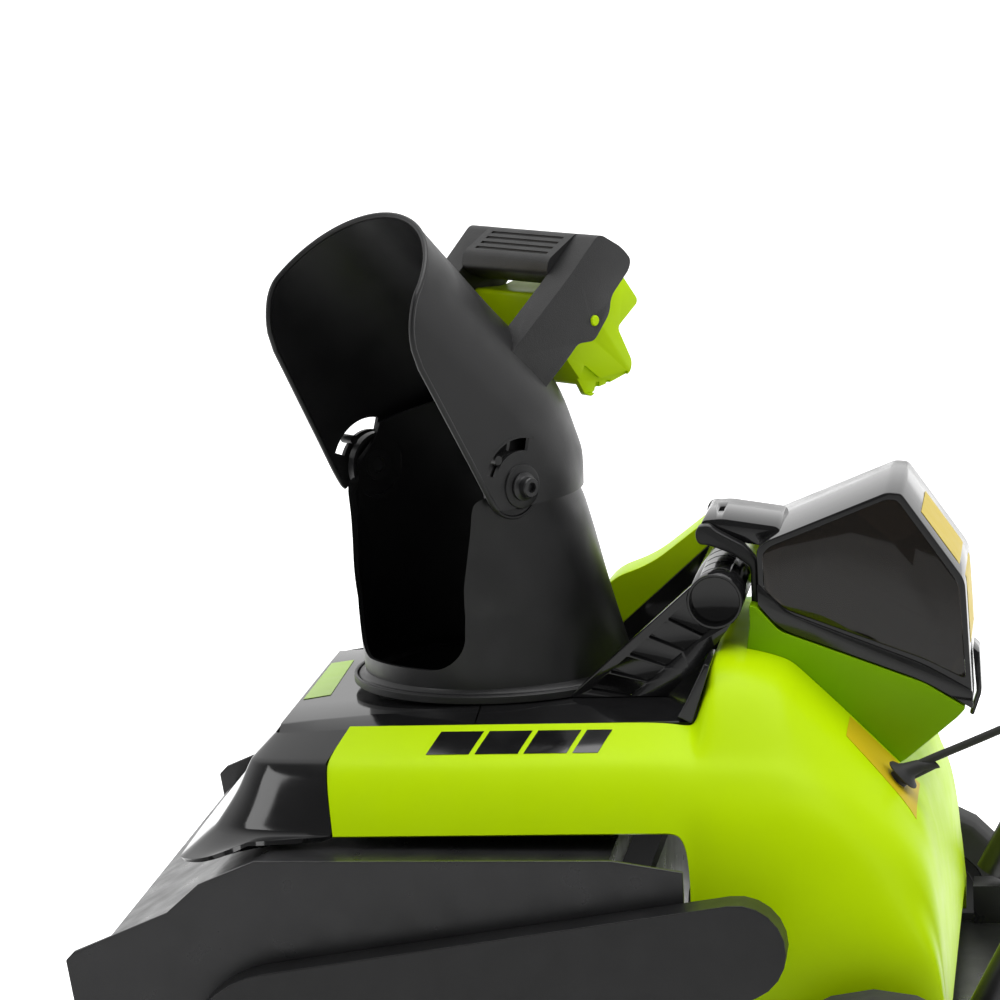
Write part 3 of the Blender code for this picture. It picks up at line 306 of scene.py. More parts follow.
def turned(name, profile, origin, axis, sides=96):
    """Revolve a closed (radius, along) profile about an axis."""
    axis = Vector(axis).normalized()
    up = Vector((0, 0, 1)) if abs(axis.z) < 0.9 else Vector((0, 1, 0))
    side = axis.cross(up).normalized()
    other = axis.cross(side)
    bm = bmesh.new()
    rings = []
    for i in range(sides):
        turn = 2 * math.pi * i / sides
        out = side * math.cos(turn) + other * math.sin(turn)
        rings.append([bm.verts.new(Vector(origin) + out * r + axis * h) for r, h in profile])
    for i in range(sides):
        here, there = rings[i], rings[(i + 1) % sides]
        for j in range(len(profile)):
            k = (j + 1) % len(profile)
            if profile[j][0] or profile[k][0]:
                bm.faces.new((here[j], here[k], there[k], there[j]))
    return add(name, bm)


def rod(name, origin, axis, radius, low, high, sides):
    return turned(name, [(0, low), (radius, low), (radius, high), (0, high)], origin, axis, sides)


def moulding(name, bm, thickness, offset, levels):
    """Round a control mesh off, by its creases, and give it a wall."""
    obj = link(name, bm)
    if levels:
        mod = obj.modifiers.new("round", "SUBSURF")
        mod.levels = mod.render_levels = levels
        mod.boundary_smooth = "PRESERVE_CORNERS"
        bake(obj)
    mod = obj.modifiers.new("wall", "SOLIDIFY")
    mod.thickness = thickness
    mod.offset = offset
    return bake(obj)


def skin(name, rows, thickness, offset, levels=0, crease_columns=(), crease_rows=(), crease=0.7):
    """A moulded wall over a control grid."""
    bm = bmesh.new()
    layer = bm.edges.layers.float.new("crease_edge")
    grid = [[bm.verts.new(p) for p in row] for row in rows]
    weave(bm, grid)
    for k in crease_columns:
        for low, high in zip(grid, grid[1:]):
            bm.edges.get((low[k], high[k]))[layer] = crease
    for k in crease_rows:
        for a, b in zip(grid[k], grid[k][1:]):
            bm.edges.get((a, b))[layer] = crease
    for corner in (grid[0][0], grid[0][-1], grid[-1][0], grid[-1][-1]):
        for edge in corner.link_edges:
            if edge.is_boundary:
                edge[layer] = max(edge[layer], 0.9)
    return moulding(name, bm, thickness, offset, levels)


def smooth_path(points, steps):
    """A Catmull-Rom curve through the points."""
    pts = [Vector(p) for p in points]
    pts = [2 * pts[0] - pts[1]] + pts + [2 * pts[-1] - pts[-2]]
    path = []
    for a, b, c, d in zip(pts, pts[1:], pts[2:], pts[3:]):
        for i in range(steps):
            t = i / steps
            path.append(0.5 * (2 * b + (c - a) * t + (2 * a - 5 * b + 4 * c - d) * t * t
                               + (3 * b - a - 3 * c + d) * t ** 3))
    return path + [pts[-2]]


def pipe(name, path, radius, sides):
    """A round bar along a path."""
    bm = bmesh.new()
    across, rings = None, []
    last = len(path) - 1
    for i, point in enumerate(path):
        ahead = (path[min(i + 1, last)] - path[max(i - 1, 0)]).normalized()
        across = ((across - ahead * across.dot(ahead)).normalized() if across
                  else ahead.orthogonal().normalized())
        other = ahead.cross(across)
        rings.append([bm.verts.new(point + across * math.cos(2 * math.pi * j / sides) * radius
                                   + other * math.sin(2 * math.pi * j / sides) * radius)
                      for j in range(sides)])
    weave(bm, rings, closed=True)
    bm.faces.new(rings[0])
    bm.faces.new(rings[-1])
    return add(name, bm)


def mix(table, value):
    """Straight lines through a (key, value) table."""
    if value <= table[0][0]:
        return table[0][1]
    for (k0, v0), (k1, v1) in zip(table, table[1:]):
        if value <= k1:
            return v0 + (v1 - v0) * (value - k0) / (k1 - k0)
    return table[-1][1]


def ease(table, value):
    """Smooth curve through a (key, value) table."""
    keys = [k for k, _ in table]
    vals = [v for _, v in table]
    slopes = []
    for i in range(len(keys)):
        a, b = max(0, i - 1), min(len(keys) - 1, i + 1)
        slopes.append((vals[b] - vals[a]) / (keys[b] - keys[a]))
    if value <= keys[0]:
        return vals[0] + slopes[0] * (value - keys[0])
    for i in range(len(keys) - 1):
        if value <= keys[i + 1] or i == len(keys) - 2:
            h = keys[i + 1] - keys[i]
            t = (value - keys[i]) / h
            return ((2 * t ** 3 - 3 * t ** 2 + 1) * vals[i] + (t ** 3 - 2 * t ** 2 + t) * h * slopes[i]
                    + (3 * t ** 2 - 2 * t ** 3) * vals[i + 1] + (t ** 3 - t ** 2) * h * slopes[i + 1])
    return vals[-1]


# ---------------------------------------------------------------- chute
CHUTE_FOOT = 0.3450
SLOT_MIDDLE = 0.0285                                 # radius on which the stop runs in the deflector's slot
STOP_TURN = math.radians(46)
CHUTE_TOP = [(-1.0, 0.4700), (-0.62, 0.4860), (-0.25, 0.5040), (0.0, 0.5180), (0.6, 0.5290), (1.0, 0.5350)]
CHUTE_HALF = [(0.345, 0.0950), (0.400, 0.0860), (0.452, 0.0770), (0.480, 0.0752), (0.500, 0.0735),
              (0.535, 0.0700)]
CHUTE_REAR = [(0.345, -0.0950), (0.400, -0.0785), (0.464, -0.0610), (0.487, -0.0480), (0.510, -0.0340),
              (0.535, -0.0160)]
CHUTE_REACH = [(0.345, 0.0950), (0.400, 0.0985), (0.440, 0.0970), (0.470, 0.0950), (0.535, 0.0900)]
CHUTE_POWER = [(0.345, 2.0), (0.400, 2.25), (0.440, 2.87), (0.455, 3.2), (0.470, 3.6), (0.535, 4.5)]


def chute_point(turn, t, inset):
    """Skin of the chute: round at the back, squarer and squarer at the front as it rises.

    CHUTE_TOP gives its upper edge by the cosine of the turn, the other tables go by height.
    """
    z = CHUTE_FOOT + t * (mix(CHUTE_TOP, math.cos(turn)) - CHUTE_FOOT)
    half = ease(CHUTE_HALF, z) - inset
    rear = ease(CHUTE_REAR, z) + inset
    middle = rear + half
    if math.cos(turn) > 0:
        return in_chute(middle - half * math.cos(turn), z, half * math.sin(turn))
    reach = ease(CHUTE_REACH, z) - inset
    power = mix(CHUTE_POWER, z)
    c, s = -math.cos(turn), math.sin(turn)
    size = (abs(c) ** power + abs(s) ** power) ** (-1 / power)
    return in_chute(middle + (reach - middle) * c * size, z, half * s * size)


def shell(name, outer, inner):
    """A closed wall between two stacks of rings."""
    bm = bmesh.new()
    skins = [[[bm.verts.new(p) for p in row] for row in side] for side in (outer, inner)]
    count = len(outer[0])
    for i in range(count):
        j = (i + 1) % count
        for side in skins:
            for low, high in zip(side, side[1:]):
                bm.faces.new((low[i], low[j], high[j], high[i]))
        for end in (0, -1):
            a, b = skins[0][end], skins[1][end]
            bm.faces.new((a[i], a[j], b[j], b[i]))
    return add(name, bm)


def make_chute():
    columns, levels = 144, 40
    grids = [[[chute_point(2 * math.pi * i / columns, j / levels, inset) for i in range(columns)]
              for j in range(levels + 1)] for inset in (0.0, WALL)]
    chute = shell("chute_wall", *grids)
    # the mouth is cut out of the front
    edge = ([(0.0597, 0.420), (0.0622, 0.440), (0.0643, 0.455), (0.0668, 0.472)]
            + arc(0.0768, 0.4740, 0.0095, 175, 95, 6) + [(0.140, 0.4838), (0.140, 0.56)])
    mouth = ([(-s, z) for s, z in reversed(edge)] + arc(-0.0315, 0.387, 0.026, 180, 270, 10)
             + arc(0.0315, 0.387, 0.026, 270, 360, 10) + edge)
    cut(chute, [prism("mouth", mouth, front_chute, 0.0640, 0.1500)])
    cut(chute, [rod("bore", in_chute(PIVOT_D, PIVOT_Z, 0), S_DIR, BOLT_BORE, *on_side(k, 0.06, 0.09), 24)
                for k in (-1, 1)])
    show(chute, "chute_body", "black_plastic", "chute")
    flange = turned("chute_flange", [(0.0835, 0.3130), (0.0860, 0.3130), (0.0860, 0.3418), (0.0990, 0.3418),
                                     (0.1000, 0.3424), (0.1000, 0.3442), (0.0992, 0.3450), (0.0975, 0.3452),
                                     (0.0962, 0.3462), (0.0950, 0.3490), (0.0925, 0.3490), (0.0915, 0.3446),
                                     (0.0835, 0.3440)], at(0, 0, 0), (0, 0, 1), 144)
    show(flange, "chute_body", "black_plastic")
    for k, name in SIDES:
        boss = turned("chute_ear_ring_" + name, [(0.0210, 0.0700), (0.0235, 0.0700), (0.0235, 0.0758),
                                                 (0.0229, 0.0764), (0.0216, 0.0764), (0.0210, 0.0758)],
                      in_chute(PIVOT_D, PIVOT_Z, 0), S_DIR * k, 64)
        show(boss, "chute_body", "black_plastic")
        hub = turned("chute_ear_hub_" + name, [(0.0054, 0.0700), (0.0110, 0.0700), (0.0110, 0.0762),
                                               (0.0054, 0.0762)],
                     in_chute(PIVOT_D, PIVOT_Z, 0), S_DIR * k, 48)
        show(hub, "chute_body", "black_plastic")
        stop_d = PIVOT_D + SLOT_MIDDLE * math.cos(STOP_TURN)
        stop_z = PIVOT_Z + SLOT_MIDDLE * math.sin(STOP_TURN)
        stop = rod("chute_stop_" + name, in_chute(stop_d, stop_z, 0), S_DIR * k, 0.0032, 0.0720, 0.0835, 20)
        show(stop, "chute_body", "black_plastic")
    profile = [(0.0880, 0.3305), (0.0890, 0.3305), (0.0890, 0.3396), (0.1028, 0.3396), (0.1035, 0.3402),
               (0.1035, 0.3446), (0.1030, 0.3452), (0.1016, 0.3452), (0.1012, 0.3446), (0.1012, 0.3412),
               (0.0880, 0.3412)]
    show(turned("chute_collar_ring", profile, at(0, 0, 0), (0, 0, 1), 144), "machine", "black_plastic",
         "chute_collar")


# ---------------------------------------------------------------- deflector
HOOD_T = (0.0, 0.12, 0.20, 0.36, 0.70, 1.0)
HOOD_REAR_D = list(zip(HOOD_T, (-0.0575, -0.0575, -0.0550, -0.0351, 0.0255, 0.0790)))
HOOD_REAR_Z = list(zip(HOOD_T, (0.4770, 0.4970, 0.5090, 0.5537, 0.6173, 0.6734)))
HOOD_FRONT_D = [(0.0, 0.0610), (0.12, 0.0685), (0.36, 0.0885), (0.70, 0.1161), (1.0, 0.1405)]
HOOD_FRONT_Z = [(0.0, 0.4735), (0.12, 0.4770), (0.36, 0.5130), (0.70, 0.5640), (1.0, 0.6089)]
HOOD_HALF = [(0.0, 0.0840), (0.20, 0.0835), (1.0, 0.0787)]


def hood_point(t, side, inset=0.0):
    """Skin of the deflector; t runs from its lower edge to the rim, side from -1 to 1."""
    b = Vector((ease(HOOD_REAR_D, t), ease(HOOD_REAR_Z, t)))
    f = Vector((ease(HOOD_FRONT_D, t), ease(HOOD_FRONT_Z, t)))
    half = mix(HOOD_HALF, t)
    length = (f - b).length
    radius = min(half, length * 0.96)
    total = length - radius + radius * math.pi / 2
    q = abs(side) * total
    if q < radius * math.pi / 2:
        a = q / radius
        along, across = radius - (radius - inset) * math.cos(a), (half - inset) * math.sin(a)
    else:
        along, across = radius + q - radius * math.pi / 2, half - inset
    p = b + (f - b) * (along / length)
    return in_chute(p.x, p.y, math.copysign(across, side))


def hood_limit(side):
    """How far up the skin goes: all the way, but for the two rounded corners of the rim."""
    edge = (1 - abs(side)) * 0.140
    corner = 0.030
    if edge >= corner:
        return 1.0
    return 1.0 - (corner - math.sqrt(corner ** 2 - (corner - edge) ** 2)) / 0.150


def hood_plug():
    """The deflector filled in, which trims the handle's legs to its skin."""
    sides = [-1 + 2 * i / 60 for i in range(61)]
    bm = bmesh.new()
    rows = [[bm.verts.new(hood_point(0.20 + 0.05 * k, side, 0.0008)) for side in sides] for k in range(17)]
    weave(bm, rows, closed=True)
    bm.faces.new(rows[0])
    bm.faces.new(rows[-1])
    return add("plug", bm)


def make_deflector():
    columns, levels = 120, 40
    sides = [-1 + 2 * i / columns for i in range(columns + 1)]
    grids = [[[hood_point(j / levels * hood_limit(s), s, inset) for s in sides] for j in range(levels + 1)]
             for inset in (0.0, WALL)]
    bm = bmesh.new()
    outer, inner = [[[bm.verts.new(p) for p in row] for row in grid] for grid in grids]
    weave(bm, outer)
    weave(bm, inner)
    for k in (0, -1):
        for i in range(columns):
            bm.faces.new((outer[k][i], outer[k][i + 1], inner[k][i + 1], inner[k][i]))
        for j in range(levels):
            bm.faces.new((outer[j][k], outer[j + 1][k], inner[j + 1][k], inner[j][k]))
    hood = add("deflector_wall", bm)
    slot = arc(PIVOT_D, PIVOT_Z, 0.0330, 21, 106, 24) + arc(PIVOT_D, PIVOT_Z, 0.0245, 106, 21, 24)
    cut(hood, [prism("slot", slot, in_chute, -0.1, 0.1),
               rod("bore", in_chute(PIVOT_D, PIVOT_Z, 0), S_DIR, BOLT_BORE, -0.1, 0.1, 24)])
    show(hood, "hood", "black_plastic", "deflector")
    grid = [[hood_point(0.675 + 0.235 * j / 8, -0.30 + 0.42 * i / 16, -0.0005) for i in range(17)]
            for j in range(9)]
    show(skin("hood_label", grid, 0.0004, 0), "hood", "label_yellow")
    # a bead along the rim and the front edges
    edge = [hood_point(j / levels * hood_limit(-1), -1, WALL / 2) for j in range(4, levels)]
    edge += [hood_point(hood_limit(s), s, WALL / 2) for s in sides]
    edge += [hood_point(j / levels * hood_limit(1), 1, WALL / 2) for j in range(levels - 1, 3, -1)]
    show(pipe("deflector_bead", edge, 0.0021, 12), "hood", "black_plastic")
    for k, name in SIDES:
        pad = turned("deflector_pad_" + name, [(0.0054, 0.0818), (0.0160, 0.0818), (0.0150, 0.0846),
                                               (0.0140, 0.0850), (0.0054, 0.0850)],
                     in_chute(PIVOT_D, PIVOT_Z, 0), S_DIR * k, 64)
        show(pad, "hood", "black_plastic")
        lip = rounded(arc(PIVOT_D, PIVOT_Z, 0.0348, 14, 113, 24)
                      + arc(PIVOT_D, PIVOT_Z, 0.0330, 113, 14, 24), 0.0006, 2)
        show(prism("slot_lip_" + name, lip, in_chute, *on_side(k, 0.0816, 0.0828)), "hood",
             "black_plastic")
        head = [(0, 0.0715), (0.0048, 0.0715), (0.0048, 0.0854), (0.0096, 0.0854), (0.0100, 0.0860),
                (0.0098, 0.0868), (0.0078, 0.0874), (0.0070, 0.0882), (0.0068, 0.0930), (0.0062, 0.0938),
                (0.0036, 0.0940), (0.0033, 0.0934), (0.0033, 0.0905), (0, 0.0905)]
        bolt = turned("bolt_" + name, head, in_chute(PIVOT_D, PIVOT_Z, 0), S_DIR * k, 48)
        show(bolt, "chute_body", "black_paint", "pivot_bolt_" + name)


# ---------------------------------------------------------------- deflector handle and trigger
LEG = [(-0.0490, 0.6500), (-0.0700, 0.6380), (-0.0780, 0.6290), (-0.0760, 0.6220), (-0.0580, 0.6050),
       (-0.0560, 0.5935), (-0.0410, 0.5760), (-0.0260, 0.5760), (-0.0138, 0.5650), (0.0112, 0.5448),
       (0.0350, 0.5450), (0.0450, 0.5690), (-0.0200, 0.6230)]
BAR = [(-0.0490, 0.6496), (-0.0215, 0.6335), (-0.0190, 0.6235), (-0.0340, 0.6135), (-0.0560, 0.6120),
       (-0.0756, 0.6224), (-0.0776, 0.6290), (-0.0698, 0.6376)]
TRIGGER = [(-0.0290, 0.6070), (-0.0560, 0.6060), (-0.0800, 0.6115), (-0.0905, 0.6150), (-0.1040, 0.5970),
           (-0.1038, 0.5935), (-0.0845, 0.5785), (-0.0972, 0.5530), (-0.0950, 0.5450), (-0.0776, 0.5402),
           (-0.0640, 0.5380), (-0.0580, 0.5330), (-0.0540, 0.5340), (-0.0460, 0.5480), (-0.0310, 0.5680),
           (-0.0290, 0.5850)]
PIN = (-0.0420, 0.5900)                              # where the trigger's pin crosses


def make_deflector_handle():
    make_deflector_grip()
    for k, name in SIDES:
        leg = prism("deflector_leg_" + name, rounded(LEG, [0.006, 0.006, 0.004, 0.004, 0.005, 0.005, 0.004,
                                                           0.004, 0.002, 0, 0, 0, 0.010]),
                    in_chute, *on_side(k, 0.0452, 0.0680))
        cut(leg, [hood_plug(), rod("bore", in_chute(*PIN, 0), S_DIR, 0.0041, -0.1, 0.1, 24)])
        bevel(leg, 0.0016, 3, 50)
        show(leg, "hood", "soft_grip", None, 40)
    make_trigger()
    profile = [(0, -0.0690), (0.0030, -0.0690), (0.0038, -0.0682), (0.0038, -0.0672), (0.0032, -0.0670),
               (0.0032, 0.0670), (0.0038, 0.0672), (0.0038, 0.0682), (0.0030, 0.0690), (0, 0.0690)]
    pin = turned("trigger_pin_turned", profile, in_chute(*PIN, 0), S_DIR, 24)
    show(pin, "hood", "lime_plastic", "trigger_pin")


def make_deflector_grip():
    bar = prism("deflector_grip", rounded(BAR, [0.005, 0.004, 0.004, 0.006, 0.006, 0.004, 0.006, 0.005]),
                in_chute, -0.0455, 0.0455)
    along = Vector((0.0275, -0.0161)).normalized()
    cuts = []
    for i in range(4):
        middle = Vector((-0.0470, 0.6482)) + along * (0.0052 + 0.0058 * i)
        cuts.append(pipe("groove", [in_chute(middle.x, middle.y, s) for s in (-0.038, 0.038)], 0.0013, 12))
    cut(bar, cuts)
    show(bar, "hood", "soft_grip", "deflector_handle", 40)


def make_trigger():
    lever = prism("trigger_lever", rounded(TRIGGER, 0.0040), in_chute, -0.0440, 0.0440)
    under = prism("under", [(-0.0740, 0.5720), (-0.0900, 0.5500), (-0.0800, 0.5200), (-0.0520, 0.5200),
                            (-0.0480, 0.5400)], in_chute, -0.0370, 0.0370)
    bore = rod("bore", in_chute(*PIN, 0), S_DIR, 0.0034, -0.1, 0.1, 24)
    low = [(-0.0900, 0.5350), (-0.0930, 0.5470), (-0.0660, 0.5450), (-0.0520, 0.5560), (-0.0400, 0.5350)]
    steps = [prism("step", rounded(low, 0.002), in_chute, *on_side(k, 0.0415, 0.0500)) for k in (1, -1)]
    gaps = [prism("gap", [(d, 0.5300), (d + 0.0050, 0.5300), (d + 0.0020, 0.5420), (d - 0.0015, 0.5420)],
                  in_chute, *on_side(k, 0.0390, 0.0500))
            for d in (-0.0860, -0.0760, -0.0660) for k in (1, -1)]
    cut(lever, [under, bore] + steps + gaps)
    bevel(lever, 0.0010, 2, 50)
    show(lever, "trigger_lever", "lime_plastic", "trigger", 40)


# ---------------------------------------------------------------- body panels
def mirror_row(half):
    """A whole row across the machine from one half, which starts on the middle."""
    other = [(-x, y, z) for x, y, z in reversed(half[1:])]
    return [at(x, y, z) for x, y, z in other + half]


def lay_on(name, target, grid, toward, lift=0.0003):
    """A thin label whose grid of points is dropped onto a piece along a direction."""
    toward = Vector(toward).normalized()
    bm = bmesh.new()
    rows = []
    for row in grid:
        verts = []
        for p in row:
            hit, place, _, _ = target.ray_cast(Vector(p) - toward * 0.2, toward)
            verts.append(bm.verts.new((place if hit else Vector(p)) - toward * lift))
        rows.append(verts)
    weave(bm, rows)
    label = add(name, bm)
    mod = label.modifiers.new("sheet", "SOLIDIFY")
    mod.thickness = 0.0003
    mod.offset = 0
    return bake(label)


def patch(a, b, c, d, across, up):
    """A grid between four corners: a to b along the bottom, d to c along the top."""
    a, b, c, d = (Vector(p) for p in (a, b, c, d))
    return [[a.lerp(b, i / across).lerp(d.lerp(c, i / across), j / up) for i in range(across + 1)]
            for j in range(up + 1)]


DECK_HOLE = 0.0895                                   # radius of the opening under the chute


def make_decks():
    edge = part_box("deck_rear")[1].x
    for name, stations in (("deck_front", [(-0.1365, 0.1180, 0.3320), (-0.1100, 0.1150, 0.3337),
                                           (-0.0830, 0.1120, 0.3352), (-0.0400, 0.1080, 0.3373),
                                           (-0.0005, 0.1050, 0.3390)]),
                           ("deck_rear", [(0.0005, 0.1050, 0.3390), (0.0500, 0.1050, 0.3390),
                                          (0.1000, 0.1050, 0.3390), (0.1480, 0.1050, 0.3390)])):
        rows = []
        for y, half, z in stations:
            out = 0.1290 if y < -0.13 else edge
            rows.append(mirror_row([(0, y, z), (0.060, y, z), (half - 0.0015, y, z),
                                    (half + 0.0015, y, z - 0.0004), (out - 0.0015, y, z - 0.0052),
                                    (out, y, z - 0.0058), (out, y, z - 0.0075)]))
        deck = skin(name + "_panel", rows, 0.0025, -1)
        cut(deck, [rod("hole", at(0, 0, 0), (0, 0, 1), DECK_HOLE, 0.3, 0.36, 128)])
        show(deck, "machine", "gloss_black", name, 12)
        if name == "deck_front":
            label = lay_on("deck_label", deck,
                           patch(at(0.0461, -0.1340, 0.36), at(-0.0722, -0.1345, 0.36),
                                 at(-0.0778, -0.1190, 0.36), at(0.0380, -0.1159, 0.36), 12, 4), (0, 0, -1))
            show(label, "machine", "label_green")
    for k, name in SIDES:
        fin = prism("deck_upstand_" + name,
                    rounded([(0.1380, 0.3375), (0.1480, 0.3330), (0.1497, 0.3375), (0.1560, 0.3560),
                             (0.1612, 0.3720), (0.1575, 0.3735), (0.1440, 0.3470)],
                            [0.001, 0.001, 0.001, 0.004, 0.001, 0.001, 0.006], 4),
                    in_x, *on_side(k, 0.0880, 0.1400))
        bevel(fin, 0.0015, 3, 40)
        show(fin, "machine", "gloss_black")


def make_front_hood():
    rows = [[(0, -0.1390, 0.3285), (0.060, -0.1390, 0.3285), (0.1290, -0.1385, 0.3285),
             (0.1365, -0.1325, 0.3290), (0.1425, -0.0855, 0.3328)],
            [(0, -0.1510, 0.3172), (0.070, -0.1510, 0.3172), (0.1560, -0.1512, 0.3165),
             (0.1690, -0.1440, 0.3168), (0.1762, -0.0960, 0.3180)],
            [(0, -0.1555, 0.3080), (0.075, -0.1555, 0.3080), (0.1600, -0.1555, 0.3075),
             (0.1740, -0.1470, 0.3080), (0.1830, -0.0955, 0.3110)],
            [(0, -0.1600, 0.2960), (0.078, -0.1600, 0.2960), (0.1640, -0.1600, 0.2960),
             (0.1800, -0.1500, 0.2950), (0.1905, -0.0935, 0.2970)],
            [(0, -0.1780, 0.2740), (0.080, -0.1780, 0.2740), (0.1700, -0.1760, 0.2735),
             (0.1900, -0.1600, 0.2735), (0.2020, -0.0895, 0.2735)],
            [(0, -0.2000, 0.2560), (0.090, -0.2000, 0.2560), (0.185, -0.1980, 0.2560),
             (0.2120, -0.1780, 0.2600), (0.2130, -0.1450, 0.2730)]]
    hood = skin("front_hood_panel", [mirror_row(r) for r in rows], WALL, 1, 3, (2, 6), (1, 4), 0.8)
    show(hood, "machine", "gloss_black", "front_hood", 40)


def cover_row(y, z, crease_z, spread):
    """Half of a cross-section of the green cover, from the middle out and down."""
    drop = z - crease_z
    return [(0, y, z), (0.080, y, z), (0.120, y, z - 0.02 * drop), (0.146, y, z - 0.30 * drop),
            (0.172, y, crease_z + 0.03 * drop), (0.180, y, crease_z - 0.004),
            (0.1905, y, min(0.2970, crease_z - 0.015)), (0.2025 + spread, y, min(0.2735, crease_z - 0.03)),
            (0.222 + spread, y, 0.200), (0.226 + spread, y, 0.130)]


def cover_rows():
    """Cross-sections from the front edges of the two sides to the back of the cover."""
    rows = []
    for edge in ((-0.0845, -0.0950, -0.0950, -0.0930, -0.0890), (-0.0500,) * 5, (0.0200,) * 5,
                 (0.0900,) * 5, (0.1350,) * 5):
        side = [(0.1412, 0.3345), (0.1720, 0.3195), (0.1800, 0.3130), (0.1905, 0.2970), (0.2025, 0.2735)]
        half = cover_row(edge[0], 0.3370, 0.316, 0)
        rows.append(half[:3] + [(x, y, z) for (x, z), y in zip(side, edge)] + half[8:])
    rows += [cover_row(0.1500, 0.3370, 0.316, 0.0), cover_row(0.1545, 0.3550, 0.316, 0.0),
             cover_row(0.1600, 0.3700, 0.316, 0.001), cover_row(0.1690, 0.3720, 0.316, 0.002),
             cover_row(0.2080, 0.3630, 0.315, 0.003), cover_row(0.2160, 0.3550, 0.313, 0.003),
             cover_row(0.2480, 0.3240, 0.300, 0.002), cover_row(0.2990, 0.2710, 0.258, -0.004),
             cover_row(0.3130, 0.2250, 0.217, -0.012), cover_row(0.3160, 0.1350, 0.1345, -0.014)]
    for row in rows[-2:]:
        row[:] = [(x, y, min(z, row[0][2])) for x, y, z in row]
    return [mirror_row(row) for row in rows]


def make_covers():
    """The two sides and the rear cover meet without a step, so they are one moulded skin."""
    rows = cover_rows()
    # the first five strips are the two sides only, from the third to the seventh column off the middle
    bm = bmesh.new()
    layer = bm.edges.layers.float.new("crease_edge")
    grid = [[bm.verts.new(p) for p in row] for row in rows]
    middle, front = len(rows[0]) // 2, 5
    for r in range(len(grid) - 1):
        for i in range(2 * middle):
            out = abs(i + 0.5 - middle)
            if r >= front or 3 < out < 7:
                bm.faces.new((grid[r][i], grid[r][i + 1], grid[r + 1][i + 1], grid[r + 1][i]))
    bmesh.ops.delete(bm, geom=[v for v in bm.verts if not v.link_faces], context="VERTS")
    for r, strength in ((7, 0.35), (12, 0.45)):
        for i in range(middle - 3, middle + 3):
            bm.edges.get((grid[r][i], grid[r][i + 1]))[layer] = strength
    for edge in bm.edges:
        if edge.is_boundary:
            edge[layer] = 0.85
    cover = moulding("cover_shell", bm, WALL, -1, 3)
    shaft = (0, *JOINTS["motor_spin"]["pos_m"][1:])
    cut(cover, [prism("bay", TOWER, in_x, -0.0703, 0.0703),
                rod("shaft_hole", shaft, (1, 0, 0), 0.009, 0.20, 0.30, 32)])
    show(cover, "machine", "lime_plastic", None, 40)
    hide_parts("motor_cover", "side_cover_left", "side_cover_right")
    label = lay_on("cord_label", cover,
                   patch(at(0.1240, 0.2500, 0.50), at(0.0760, 0.2500, 0.50), at(0.0760, 0.2960, 0.50),
                         at(0.1420, 0.2960, 0.50), 12, 12), (0, 0, -1), 0.0004)
    show(label, "machine", "label_yellow")
    make_side_stripes(cover)


def make_side_stripes(cover):
    """Slanting black marks along the shoulder of each side."""
    slant = 0.004
    for k, name in SIDES:
        for i, (start, length) in enumerate(((-0.0250, 0.0290), (0.0080, 0.0290), (0.0410, 0.0290),
                                             (0.0740, 0.0170))):
            grid = patch(at(k * 0.1690, start - slant, 0.50), at(k * 0.1690, start + length - slant, 0.50),
                         at(k * 0.1480, start + length + slant, 0.50), at(k * 0.1480, start + slant, 0.50),
                         6, 5)
            stripe = lay_on("side_stripe_%s_%d" % (name, i), cover, grid, (0, 0, -1))
            show(stripe, "machine", "gloss_black")


TOWER = [(0.1830, 0.3985), (0.1880, 0.3975), (0.2030, 0.3803), (0.3010, 0.3424), (0.3285, 0.3250),
         (0.3232, 0.3190), (0.2850, 0.2880), (0.2600, 0.2780), (0.1760, 0.3400), (0.1830, 0.3850)]


def make_tower():
    outline = rounded(TOWER, [0.001, 0.001, 0.004, 0.004, 0.002, 0.003, 0.006, 0.004, 0.002, 0.001], 5)
    tower = prism("tower_shell", outline, in_x, -0.0700, 0.0700)
    bay = prism("bay", [(0.0, -0.0520), (0.1000, -0.0520), (0.1000, 0.0600), (0.0, 0.0600)], in_pack,
                -0.0520, 0.0520)
    cut(tower, [bay])
    bevel(tower, 0.0025, 4, 40)
    # The tower's darker lime is painted shade on the same lime plastic, not a colour of its own.
    show(tower, "machine", "dark_lime_plastic", "battery_tower", 40)
    for k, name in SIDES:
        arm = prism("hinge_arm_" + name, rounded(
            [(0.1835, 0.3950), (0.1880, 0.3950), (0.1880, 0.4270), (0.1800, 0.4370), (0.1600, 0.4480),
             (0.1560, 0.4520), (0.1480, 0.4510), (0.1460, 0.4450), (0.1480, 0.4385), (0.1560, 0.4375),
             (0.1720, 0.4310), (0.1835, 0.4220)], 0.003, 4), in_x, *on_side(k, 0.0412, 0.0530))
        bevel(arm, 0.0016, 3, 40)
        show(arm, "machine", "black_plastic", "lid_hinge_pin" if k > 0 else None)
    make_drive_hump()


def make_drive_hump():
    hump = prism("drive_hump_shell", rounded(
        [(0.0450, 0.3400), (0.0600, 0.3740), (0.0720, 0.3880), (0.1000, 0.3980), (0.1500, 0.4355),
         (0.1620, 0.4320), (0.2080, 0.3850), (0.2080, 0.3815), (0.1640, 0.3825), (0.1490, 0.3700),
         (0.1460, 0.3400)], [0, 0.012, 0.012, 0.020, 0.006, 0.006, 0.002, 0.001, 0.004, 0.004, 0], 6), in_x,
        -0.1370, -0.0930)
    bevel(hump, 0.0060, 4, 40)
    show(hump, "machine", "lime_plastic", "drive_hump", 50)


